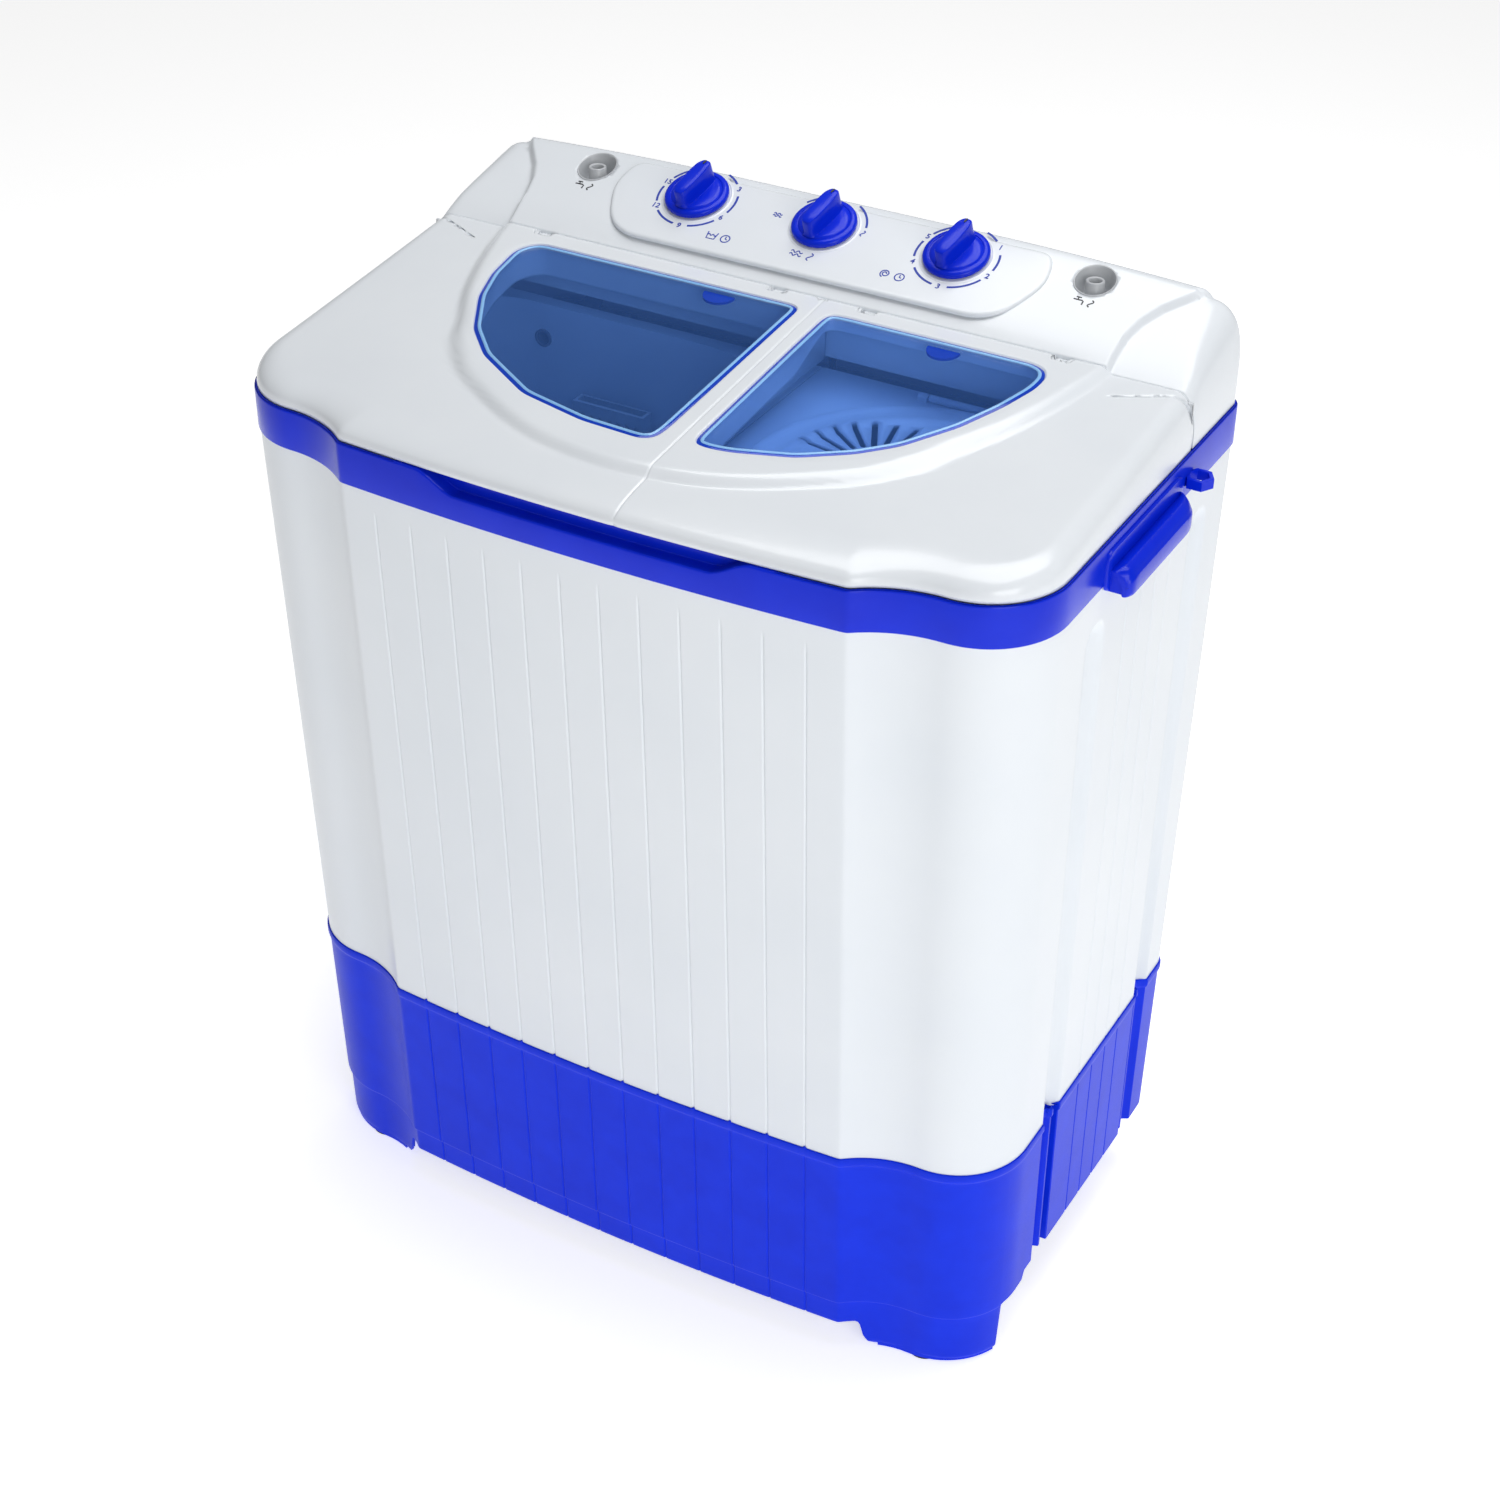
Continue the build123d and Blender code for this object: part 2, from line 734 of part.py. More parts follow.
def grooved_wheel(x, y, groove_r, rim, bore):
    """A belt pulley: a disc with a groove at the belt's height."""
    part = disc(x, y, belt_z[0] - 3, belt_z[1] + 3, groove_r + rim)
    ring = disc(x, y, belt_z[0] - 0.5, belt_z[1] + 0.5, groove_r + rim + 1)
    part = part - (ring - disc(x, y, belt_z[0] - 2, belt_z[1] + 2, groove_r))
    return part - disc(x, y, belt_z[0] - 9, belt_z[1] + 9, bore)


def wash_pulley():
    """The large pulley on the pulsator shaft."""
    return grooved_wheel(*wash_centre, pulley_r, 6, 7)


def motor_pulley():
    """The small pulley with the wash motor's shaft."""
    return grooved_wheel(*motor_centre, motor_pulley_r, 6, 1) + disc(*motor_centre, 130, 226, 6)


def drive_belt():
    """The belt round both pulleys."""

    def loop(extra):
        """The area inside the belt's path, grown by a distance."""
        big = Pos(*wash_centre) * Circle(pulley_r + belt_gap + extra)
        small = Pos(*motor_centre) * Circle(motor_pulley_r + belt_gap + extra)
        return make_hull([big.edge(), small.edge()])

    ring = loop(belt_thickness) - loop(0)
    return Pos(0, 0, belt_z[0]) * extrude(ring, amount=belt_z[1] - belt_z[0])


def motor(centre, radius, z0, z1, bore):
    """A motor body with a ribbed waist and a through bore for its shaft."""
    part = disc(*centre, z0, z1, radius)
    part = part - (disc(*centre, z0 + 22, z1 - 22, radius + 1) - disc(*centre, z0, z1, radius - 5))
    return part - disc(*centre, z0 + 20, z1 + 5, bore)


def mount_places(centre, reach):
    """Four mount positions round a motor."""
    return [(centre[0] + sx * reach, centre[1] + sy * reach) for sx in (-1, 1) for sy in (-1, 1)]


def wash_motor():
    """The wash motor with its foot plate."""
    x, y = motor_centre
    part = motor(motor_centre, 56, 92, 196, 6 + run_gap)
    part = part + brick((x - 62, x + 62), (y - 62, y + 62), (88, 92))
    for px, py in mount_places(motor_centre, 52):
        part = part - disc(px, py, 80, 100, 4)
    return part


def spin_motor():
    """The spin motor with its foot plate and the plate that carries the brake."""
    x, y = spin_centre
    part = motor(spin_centre, 60, 92, 186, shaft_r + run_gap)
    part = part + brick((x - 66, x + 66), (y - 66, y + 66), (88, 92))
    part = part + brick((x - 50, x + 80), (y - 40, y + 80), (186, 190))
    part = part - disc(x, y, 150, 200, shaft_r + run_gap)
    part = part + disc(*brake_pivot, 190, 224, 4)
    for px, py in mount_places(spin_centre, 56):
        part = part - disc(px, py, 80, 100, 4)
    return part


def motor_mounts():
    """Rubber mounts between the motors and the base deck."""
    places = mount_places(motor_centre, 52) + mount_places(spin_centre, 56)
    return solids(*[disc(x, y, deck_top, 88, 9) + disc(x, y, 88, 95, 4) for x, y in places])


# ---- Spin drive

def spin_basket():
    """The perforated spin basket."""
    low, high = basket_z
    part = disc(*spin_centre, low, high, basket_r) - disc(*spin_centre, low + 3, high + 1, basket_r - 3)
    part = part + (disc(*spin_centre, high - 8, high, basket_r + 4) - disc(*spin_centre, 0, 900, basket_r - 3))
    part = part + disc(*spin_centre, low - 12, low + 16, 30) - disc(*spin_centre, 0, 345, shaft_r)
    for row in range(5):
        for step in range(6):
            z = low + 50 + 65 * row
            hole = Rot(0, 0, 30 * step + 15 * (row % 2)) * Pos(0, 0, z) * Rot(90, 0, 0) * Cylinder(3.5, 400)
            part = part - Pos(*spin_centre, 0) * hole
    return part


def spin_shaft():
    """The shaft from the spin motor up to the basket."""
    return disc(*spin_centre, 125, 345, shaft_r)


def brake_drum():
    """The brake drum on the spin shaft."""
    return disc(*spin_centre, 204, 230, drum_r) - disc(*spin_centre, 200, 240, shaft_r)


def spin_shaft_seal():
    """The rubber bellows that seals the spin chamber round the shaft."""
    part = disc(*spin_centre, 284, 310, 20) + disc(*spin_centre, 292, 300, 30)
    part = part + disc(*spin_centre, 303, 307, 27)
    return part - disc(*spin_centre, 200, 320, shaft_r + run_gap)


def brake_lever():
    """The brake shoe lever that closes on the drum as the spin lid opens."""
    x, y = spin_centre
    arm = brick((brake_pivot[0] - 7, brake_pivot[0] + 7), (y - 12, brake_pivot[1]), (208, 222))
    part = arm + disc(*brake_pivot, 208, 222, 9)
    part = part + brick((x + 44, brake_pivot[0] + 7), (y - 18, y + 18), (208, 222))
    part = part - disc(x, y, 200, 240, drum_r + 3)
    return part - disc(*brake_pivot, 180, 230, 4 + run_gap)


# ---- Drain


def drain_valve_body():
    """The drain valve chamber behind the tubs, with its duct from the wash tub's floor."""
    x, y = valve_centre
    part = brick((x - 32, x + 32), (y - 32, y + 32), (240, 296))
    part = part + brick((-32, 16), (54, y), (262, 300))
    part = part - brick((x - 29, x + 29), (y - 29, y + 29), (243, 293))
    part = part - brick((-29, 13), (57, y), (265, 290))
    part = part - disc(-12, 72, 280, 310, 13)
    part = part - disc(x, y, 230, 250, 11) - disc(x, y, 280, 310, 3.4)
    return part - rod((x + 20, y, 262), (x + 40, y, 262), 9)


def drain_plug():
    """The rubber valve plug on its pull rod."""
    x, y = valve_centre
    return disc(x, y, 239, 256, 10.6) + disc(x, y, 256, 268, 16) + disc(x, y, 268, 800, 3)


def drain_pipe():
    """The drain pipe from the valve to the outlet spigot at the back."""
    x, y = valve_centre
    start = (x, y, 240)
    path = FilletPolyline(start, (x, y, outlet_z), (outlet_x, y, outlet_z), (outlet_x, 189, outlet_z), radius=24)
    return sweep(Plane(origin=start, z_dir=(0, 0, -1)) * (Circle(14) - Circle(11)), path)


def drain_outlet():
    """The flanged outlet spigot on the base's rear wall."""

    def along(y0, y1, radius):
        """A cylinder on the outlet's axis."""
        return rod((outlet_x, y0, outlet_z), (outlet_x, y1, outlet_z), radius)

    part = along(176, 190, 11) + along(189, 214, 12.5) + along(194.8, 197.6, 19)
    return part - along(170, 220, 9)


def spin_drain_hose():
    """The hose from the spin chamber's floor into the valve chamber."""
    x, y = valve_centre
    start = (72, 0, tub_floor)
    path = FilletPolyline(start, (72, 0, 262), (72, y, 262), (x + 32, y, 262), radius=18)
    return sweep(Plane(origin=start, z_dir=(0, 0, -1)) * (Circle(9) - Circle(7)), path)


def capacitor():
    """The motor capacitor on the base deck."""
    x, y = capacitor_place
    return disc(x, y, deck_top, deck_top + 78, 21) + disc(x, y, deck_top + 78, deck_top + 84, 6)


os.makedirs("parts", exist_ok=True)

parts = {
    "base_skirt": base_skirt(),
    "base_legs": base_legs(),
    "foot_pads": foot_pads(),
    "cabinet_wrap": cabinet_wrap(),
    "rear_panel": rear_panel(),
    "rear_panel_screws": rear_panel_screws(),
    "cord_gland": cord_gland(),
    "top_band": top_band(),
    "side_handle_left": side_handle(-1),
    "side_handle_right": side_handle(1),
    "handle_screws": handle_screws(),
    "hose_hook": hose_hook(),
    "wash_tub": wash_tub(),
    "spin_outer_tub": spin_outer_tub(),
    "spin_inner_lid": spin_inner_lid(),
    "inner_lid_pin": inner_lid_pin(),
    "lint_filter": lint_filter(),
    "inlet_hose_left": inlet_hose(-1),
    "inlet_hose_right": inlet_hose(1),
    "console_cover": console_cover(),
    "lid_hinge_pins": lid_hinge_pins(),
    "knob_plate": knob_plate(),
    "inlet_cup_left": inlet_cup(-1),
    "inlet_cup_right": inlet_cup(1),
    "wash_lid_shell": lid_shell(True),
    "wash_window": window(True),
    "wash_window_clip": window_clip(True),
    "spin_lid_shell": lid_shell(False),
    "spin_window": window(False),
    "spin_window_clip": window_clip(False),
    "pulsator": pulsator(),
    "pulsator_shaft": pulsator_shaft(),
    "wash_bearing_housing": wash_bearing_housing(),
    "wash_pulley": wash_pulley(),
    "motor_pulley": motor_pulley(),
    "drive_belt": drive_belt(),
    "wash_motor": wash_motor(),
    "spin_motor": spin_motor(),
    "motor_mounts": motor_mounts(),
    "spin_basket": spin_basket(),
    "spin_shaft": spin_shaft(),
    "brake_drum": brake_drum(),
    "spin_shaft_seal": spin_shaft_seal(),
    "brake_lever": brake_lever(),
    "drain_valve_body": drain_valve_body(),
    "drain_plug": drain_plug(),
    "drain_pipe": drain_pipe(),
    "drain_outlet": drain_outlet(),
    "spin_drain_hose": spin_drain_hose(),
    "capacitor": capacitor(),
}
for switch_name in knob_x:
    parts[switch_name] = switch(switch_name)
    parts[switch_name + "_shaft"] = switch_shaft(switch_name)
    parts[switch_name + "_knob"] = knob(switch_name)

for part_name, part_shape in parts.items():
    save(part_name, part_shape)
print(len(parts), "sub-parts")
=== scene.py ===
import math
import bmesh
import bpy
import numpy as np
from mathutils import Matrix, Vector


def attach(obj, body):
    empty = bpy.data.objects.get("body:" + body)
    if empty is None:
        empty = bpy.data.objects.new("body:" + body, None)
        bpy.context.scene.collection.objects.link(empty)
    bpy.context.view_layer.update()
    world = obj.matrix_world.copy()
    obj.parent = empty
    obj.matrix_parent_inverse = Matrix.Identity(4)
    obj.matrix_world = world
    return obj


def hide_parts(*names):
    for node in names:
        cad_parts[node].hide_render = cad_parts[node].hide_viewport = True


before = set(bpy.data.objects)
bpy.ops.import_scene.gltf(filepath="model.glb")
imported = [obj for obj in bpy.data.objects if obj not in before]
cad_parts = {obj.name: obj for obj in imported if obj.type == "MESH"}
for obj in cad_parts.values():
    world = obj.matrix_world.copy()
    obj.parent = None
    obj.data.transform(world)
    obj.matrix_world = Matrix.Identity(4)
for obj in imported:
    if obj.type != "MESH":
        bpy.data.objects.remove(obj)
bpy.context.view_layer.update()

mm = 0.001
print("frame loaded", len(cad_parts), "nodes")

# small tools


def linear(hexColour):
    channels = [int(hexColour[k:k + 2], 16) / 255 for k in (1, 3, 5)]
    return tuple(c / 12.92 if c <= 0.04045 else ((c + 0.055) / 1.055) ** 2.4 for c in channels) + (1.0,)


def addNode(tree, kind, settings=None, links=None):
    node = tree.nodes.new(kind)
    for key, value in (settings or {}).items():
        if isinstance(key, int) or key in node.inputs:
            node.inputs[key].default_value = value
        else:
            setattr(node, key, value)
    for key, source in (links or {}).items():
        tree.links.new(source, node.inputs[key])
    return node


def startMaterial(name):
    # an empty node material, its tree and the object's own coordinates
    material = bpy.data.materials.new(name)
    material.use_nodes = True
    tree = material.node_tree
    tree.nodes.clear()
    return material, tree, addNode(tree, "ShaderNodeTexCoord").outputs["Object"]


def blend(tree, low, high, factor):
    # a colour that wanders between two values
    tones = {"data_type": "RGBA", 6: linear(low), 7: linear(high)}
    return addNode(tree, "ShaderNodeMix", tones, {"Factor": factor}).outputs[2]


def shade(tree, settings, links):
    # the shader of a material, joined to its output
    shader = addNode(tree, "ShaderNodeBsdfPrincipled", settings, links)
    addNode(tree, "ShaderNodeOutputMaterial", {}, {"Surface": shader.outputs[0]})
    return shader


def skin(tree, low, high, rough, spread, bump, depth, mottle, fine, settings):
    # mottled colour, and a fine grain that carries the roughness and the relief
    limits = {"To Min": rough - spread, "To Max": rough + spread}
    shine = addNode(tree, "ShaderNodeMapRange", limits, {"Value": fine})
    relief = addNode(tree, "ShaderNodeBump", {"Strength": bump, "Distance": depth * mm}, {"Height": fine})
    shade(tree, settings, {"Base Color": blend(tree, low, high, mottle), "Roughness": shine.outputs[0],
                           "Normal": relief.outputs[0]})


def smoothStep(value):
    value = np.clip(value, 0.0, 1.0)
    return value * value * (3 - 2 * value)


def placed(name, data):
    # a new object in the scene that holds the data
    piece = bpy.data.objects.new(name, data)
    bpy.context.scene.collection.objects.link(piece)
    return piece


def rawMesh(name, points, faces):
    # points are in millimetres
    mesh = bpy.data.meshes.new(name)
    mesh.from_pydata([tuple(p) for p in np.asarray(points, dtype=float) * mm], [], [tuple(f) for f in faces])
    return mesh


def evaluated(piece):
    # a plain mesh with the piece's modifiers applied
    return bpy.data.meshes.new_from_object(piece.evaluated_get(bpy.context.evaluated_depsgraph_get()))


def meshPart(mesh, unit=1.0):
    # the points and faces of a mesh that is no longer needed
    points = np.array([v.co for v in mesh.vertices]) / unit
    faces = [tuple(p.vertices) for p in mesh.polygons]
    bpy.data.meshes.remove(mesh)
    return points, faces


def addMesh(name, points, faces, material, body, replaced=(), slot=None, sharp=35.0, solid=0.0, weld=0.02):
    # solid gives a thin surface its wall, inwards
    mesh = rawMesh(name, points, faces)
    work = bmesh.new()
    work.from_mesh(mesh)
    if weld:
        bmesh.ops.remove_doubles(work, verts=work.verts, dist=weld * mm)
        bmesh.ops.dissolve_degenerate(work, edges=work.edges, dist=weld * mm * 0.5)
    bmesh.ops.recalc_face_normals(work, faces=work.faces)
    work.to_mesh(mesh)
    work.free()
    for polygon in mesh.polygons:
        polygon.use_smooth = True
    mesh.set_sharp_from_angle(angle=math.radians(sharp))
    piece = placed(name, mesh)
    for entry in material if isinstance(material, (list, tuple)) else [material]:
        mesh.materials.append(entry)
    if solid:
        wall = piece.modifiers.new("wall", "SOLIDIFY")
        wall.thickness = solid * mm
        wall.offset = -1.0
        wall.use_even_offset = False
    if body:
        if replaced:
            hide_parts(*replaced)
        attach(piece, body)
    return piece


def cutAway(piece, parts):
    # takes closed shapes out of a finished piece and leaves a plain mesh
    points, faces = joinParts(parts)
    tool = addMesh("cutter", points, faces, piece.data.materials[0], None)
    cut = piece.modifiers.new("cut", "BOOLEAN")
    cut.operation = "DIFFERENCE"
    cut.solver = "EXACT"
    cut.object = tool
    old = piece.data
    piece.data = evaluated(piece)
    piece.modifiers.clear()
    piece.data.name = old.name
    bpy.data.objects.remove(tool)


def gridFaces(rows, columns, closed=False):
    faces = []
    for r in range(rows - 1):
        for c in range(columns if closed else columns - 1):
            d = (c + 1) % columns
            faces.append((r * columns + c, r * columns + d, (r + 1) * columns + d, (r + 1) * columns + c))
    return faces


def loopStack(rings, capStart=False, capEnd=False):
    # closed rings of equal length joined into one skin, with its ends filled where asked
    rings = [np.asarray(ring, dtype=float) for ring in rings]
    count = len(rings[0])
    points = np.concatenate(rings)
    faces = gridFaces(len(rings), count, True)
    if capStart:
        faces.append(tuple(range(count))[::-1])
    if capEnd:
        faces.append(tuple((len(rings) - 1) * count + k for k in range(count)))
    return points, faces


def joinParts(parts):
    points, faces, base = [], [], 0
    for partPoints, partFaces in parts:
        points.append(np.asarray(partPoints, dtype=float))
        faces += [tuple(k + base for k in face) for face in partFaces]
        base += len(partPoints)
    return np.concatenate(points), faces


def boxPart(x, y, z):
    points = [(x[i], y[j], z[k]) for i in (0, 1) for j in (0, 1) for k in (0, 1)]
    faces = [(0, 1, 3, 2), (4, 6, 7, 5), (0, 4, 5, 1), (2, 3, 7, 6), (0, 2, 6, 4), (1, 5, 7, 3)]
    return np.array(points), faces


def roundAngles(count):
    return np.linspace(0, 2 * math.pi, count, endpoint=False)


def turnProfile(profile, centre, turns):
    # a profile of (radius, z) points spun round a vertical axis
    angles = roundAngles(turns)
    rings = [
        np.stack([centre[0] + r * np.cos(angles), centre[1] + r * np.sin(angles), np.full(turns, z)], 1)
        for r, z in profile
    ]
    return loopStack(rings)


def resample(points, step, closed=False):
    points = np.asarray(points, dtype=float)
    if closed:
        points = np.vstack([points, points[:1]])
    lengths = np.hypot(*np.diff(points, axis=0).T)
    travel = np.concatenate([[0], np.cumsum(lengths)])
    count = max(8, int(round(travel[-1] / step)))
    marks = np.linspace(0, travel[-1], count + (0 if closed else 1), endpoint=not closed)
    return np.stack([np.interp(marks, travel, points[:, k]) for k in range(2)], 1)


def soften(points, sigma, step):
    # rounds the corners of a path by a running average of about sigma millimetres
    reach = int(3 * sigma / step)
    weights = np.exp(-0.5 * (np.arange(-reach, reach + 1) * step / sigma) ** 2)
    weights /= weights.sum()
    padded = np.vstack([points[-reach:], points, points[:reach]])
    return np.stack([np.convolve(padded[:, k], weights, "valid") for k in range(2)], 1)


def anticlockwise(path):
    # the closed path itself, or reversed where it runs clockwise
    area = np.sum(path[:, 0] * np.roll(path[:, 1], -1) - np.roll(path[:, 0], -1) * path[:, 1])
    return path if area > 0 else path[::-1]


def roundedPath(points, sigma, fine, step):
    # a closed anticlockwise path through the points, with round corners
    path = anticlockwise(resample(np.array(points, dtype=float), fine, True))
    return resample(soften(path, sigma, fine), step, True)


def outward(points):
    # unit normals of a closed path that runs anticlockwise
    ahead = np.roll(points, -1, 0) - np.roll(points, 1, 0)
    normal = np.stack([ahead[:, 1], -ahead[:, 0]], 1)
    return normal / np.linalg.norm(normal, axis=1, keepdims=True)


def curveThrough(points, closed=False, steps=12):
    # a smooth path through a few points
    points = [np.array(p, dtype=float) for p in points]
    count = len(points)
    path = []
    for k in range(count if closed else count - 1):
        if closed:
            a, b, c, d = (points[(k + j) % count] for j in (-1, 0, 1, 2))
        else:
            b, c = points[k], points[k + 1]
            a = points[k - 1] if k else 2 * b - c
            d = points[k + 2] if k + 2 < count else 2 * c - b
        for t in np.arange(steps) / steps:
            path.append(0.5 * (
                2 * b + (c - a) * t + (2 * a - 5 * b + 4 * c - d) * t**2
                + (3 * b - a - 3 * c + d) * t**3
            ))
    if not closed:
        path.append(points[-1])
    return np.array(path)


# camera, light and floor

cameraSetup = {
    "place": (957.0, -1653.1, 1739.5),
    "azimuth": 29.34,
    "elevation": 34.07,
    "roll": 0.47,
    "lens": 64.6,
}


def setCamera():
    azimuth, elevation, roll = (math.radians(cameraSetup[k]) for k in ("azimuth", "elevation", "roll"))
    flat = math.cos(elevation)
    forward = Vector((-math.sin(azimuth) * flat, math.cos(azimuth) * flat, -math.sin(elevation)))
    right = Vector((math.cos(azimuth), math.sin(azimuth), 0))
    up = right.cross(forward)
    turnedRight = right * math.cos(roll) + up * math.sin(roll)
    turnedUp = up * math.cos(roll) - right * math.sin(roll)
    data = bpy.data.cameras.new("camera")
    data.lens = cameraSetup["lens"]
    data.sensor_width = 36.0
    data.clip_end = 50.0
    camera = placed("camera", data)
    matrix = Matrix((turnedRight, turnedUp, -forward)).transposed().to_4x4()
    matrix.translation = Vector(cameraSetup["place"]) * mm
    camera.matrix_world = matrix
    bpy.context.scene.camera = camera


setCamera()

studio = {
    "sky": "#ffffff",
    "skyPower": 0.20,
    "floorReach": 9000.0,
    "floorGlow": 0.6,
    "lamps": {
        # place, aim and size in metres, power in watts
        "keyRight": ((2.5, -2.0, 1.7), (0.2, 0.0, 0.5), (1.6, 2.0), 38.0),
        "fillFront": ((1.4, -3.2, 1.6), (0.0, 0.0, 0.4), (2.2, 1.6), 5.0),
        "topSoft": ((0.2, 0.5, 3.0), (0.0, 0.0, 0.6), (2.2, 1.8), 46.0),
    },
}


def setStudio():
    bpy.context.scene.view_settings.view_transform = "Standard"
    world = bpy.data.worlds.new("studio")
    bpy.context.scene.world = world
    world.use_nodes = True
    background = world.node_tree.nodes["Background"]
    background.inputs["Color"].default_value = linear(studio["sky"])
    background.inputs["Strength"].default_value = studio["skyPower"]
    for name, (spot, aim, size, power) in studio["lamps"].items():
        data = bpy.data.lights.new(name, "AREA")
        data.shape = "RECTANGLE"
        data.size, data.size_y = size
        data.energy = power
        lamp = placed(name, data)
        lamp.location = spot
        lamp.rotation_euler = (Vector(aim) - Vector(spot)).to_track_quat("-Z", "Y").to_euler()
    # the floor is a large sheet of pale studio paper
    far = studio["floorReach"]
    corners = [(-far, -far, 0), (far, -far, 0), (far, far, 0), (-far, far, 0)]
    mesh = rawMesh("floorPaper", corners, [(0, 1, 2, 3)])
    floor = placed("floorPaper", mesh)
    paper, tree, place = startMaterial("studioPaper")
    grain = addNode(tree, "ShaderNodeTexNoise", {"Scale": 2.0, "Detail": 3.0}, {"Vector": place})
    tone = blend(tree, "#fdfdfd", "#ffffff", grain.outputs["Fac"])
    shader = shade(tree, {"Roughness": 0.9}, {"Base Color": tone})
    shader.inputs["Emission Color"].default_value = linear("#ffffff")
    shader.inputs["Emission Strength"].default_value = studio["floorGlow"]
    mesh.materials.append(paper)


setStudio()
print("camera and studio ready")

# materials

plasticRecipes = {
    # gloss ABS: a clean, faintly wavy skin with soft broad highlights
    "glossWhiteAbs": dict(
        low="#dfe4ea", high="#e9edf1", rough=0.24, cloud=120, grain=7.0, bump=0.05, coat=0.25),
    # painted steel wrap: slightly duller, with a fine orange peel
    "satinWhitePaint": dict(
        low="#dde3e9", high="#e8ecf0", rough=0.36, cloud=160, grain=2.4, bump=0.09, coat=0.15),
    # royal blue ABS, polished mould: strong colour, clear highlights
    "polishedBlueAbs": dict(
        low="#0420c4", high="#0830e0", rough=0.22, cloud=60, grain=5.0, bump=0.05, sheen=0.22),
    # the base is moulded against a spark-eroded mould: the same blue with a fine grain
    "texturedBlueAbs": dict(
        low="#042ad2", high="#0836ea", rough=0.38, spread=0.08, cloud=34, grain=1.1, bump=0.35, sheen=0.12),
    "palePolypropylene": dict(
        low="#d3dbe6", high="#e0e6ee", rough=0.34, spread=0.06, cloud=80, grain=3.0, bump=0.08),
    "greyAbs": dict(low="#b4b7bb", high="#c4c7ca", rough=0.32, spread=0.06, cloud=30, grain=2.0, bump=0.1),
    "printedBlueInk": dict(low="#14329e", high="#1d3fae", rough=0.5, cloud=10, grain=0.6, bump=0.1),
    "printedBlackInk": dict(low="#26282c", high="#33363a", rough=0.5, cloud=10, grain=0.6, bump=0.1),
    "blackRubber": dict(low="#17181a", high="#232527", rough=0.72, spread=0.1, cloud=14, grain=0.9, bump=0.4),
    "greyNylon": dict(low="#6d7278", high="#7d8288", rough=0.45, spread=0.08, cloud=22, grain=1.2, bump=0.15),
}


def mouldedPlastic(name, low, high, rough, cloud, grain, bump, spread=0.05, coat=0.0, sheen=0.5):
    # sheen is the strength of the plain reflection: the deep blues are kept low so that they stay saturated
    material, tree, place = startMaterial(name)
    mottle, fine = (
        addNode(tree, "ShaderNodeTexNoise", {"Scale": 1000 / size, "Detail": detail, "Roughness": rate},
                {"Vector": place}).outputs["Fac"]
        for size, detail, rate in ((cloud, 3.0, 0.55), (grain, 2.0, 0.5))
    )
    skin(tree, low, high, rough, spread, bump, 0.12 * grain, mottle, fine,
         {"IOR": 1.5, "Coat Weight": coat, "Coat Roughness": 0.12, "Specular IOR Level": sheen})
    return material


plastics = {name: mouldedPlastic(name, **recipe) for name, recipe in plasticRecipes.items()}


def windowAcrylic(name, tint, glaze, share):
    # tinted SAN: mostly clear, with a blue glaze that catches the light
    material, tree, place = startMaterial(name)
    flow = addNode(tree, "ShaderNodeTexNoise", {"Scale": 1000 / 45, "Detail": 2.0}, {"Vector": place})
    flow = flow.outputs["Fac"]
    ripple = addNode(tree, "ShaderNodeBump", {"Strength": 0.04, "Distance": 1 * mm}, {"Height": flow})
    clear = addNode(tree, "ShaderNodeBsdfTransparent", {"Color": linear(tint)})
    shader = addNode(
        tree, "ShaderNodeBsdfPrincipled", {"Roughness": 0.08, "IOR": 1.57},
        {"Base Color": blend(tree, *glaze, flow), "Normal": ripple.outputs[0]},
    )
    both = addNode(tree, "ShaderNodeMixShader", {"Fac": share}, {1: clear.outputs[0], 2: shader.outputs[0]})
    addNode(tree, "ShaderNodeOutputMaterial", {}, {"Surface": both.outputs[0]})
    return material


windowPane = windowAcrylic("tintedSanPane", "#d8e9ff", ("#4c86e0", "#5f96ea"), 0.12)
windowBead = windowAcrylic("tintedSanBead", "#b8dcff", ("#8cc8ff", "#a2d4ff"), 0.85)
windowEdge = windowAcrylic("tintedSanEdge", "#2a62d8", ("#0a3cc4", "#1650d8"), 0.75)


def metal(name, low, high, rough, spread, cell, bump, metallic=1.0):
    material, tree, place = startMaterial(name)
    spangle = addNode(tree, "ShaderNodeTexVoronoi", {"Scale": 1000 / cell}, {"Vector": place})
    fine = addNode(tree, "ShaderNodeTexNoise", {"Scale": 1000 / (cell * 0.3), "Detail": 3.0}, {"Vector": place})
    skin(tree, low, high, rough, spread, bump, 0.1, spangle.outputs["Color"], fine.outputs["Fac"],
         {"Metallic": metallic})
    return material


galvanisedSteel = metal("galvanisedSteel", "#a9adb1", "#c3c6c9", 0.34, 0.08, 9.0, 0.15)
turnedSteel = metal("turnedSteel", "#b7babd", "#cfd1d3", 0.22, 0.05, 2.0, 0.1)
motorEnamel = metal("motorEnamel", "#2b2e33", "#3a3e44", 0.48, 0.08, 4.0, 0.25, 0.0)
print("materials ready")

# the body's outline, shared by the base, the wrap, the band and the lids

bodyShape = {
    "halfWidth": 353.0,
    "halfDepth": 215.5,
    "creaseX": 221.5,
    "bulge": 7.9,
    "creaseStep": 23.0,
    "frontCorner": 67.0,
    "rearCorner": 15.0,
    "creaseRound": 2.2,
    "sideTaper": 3.9 / 516,
    "endTaper": 17.6 / 516,
    "bandTop": 778.0,
    "bandBottom": 743.0,
    "baseTop": 227.0,
}


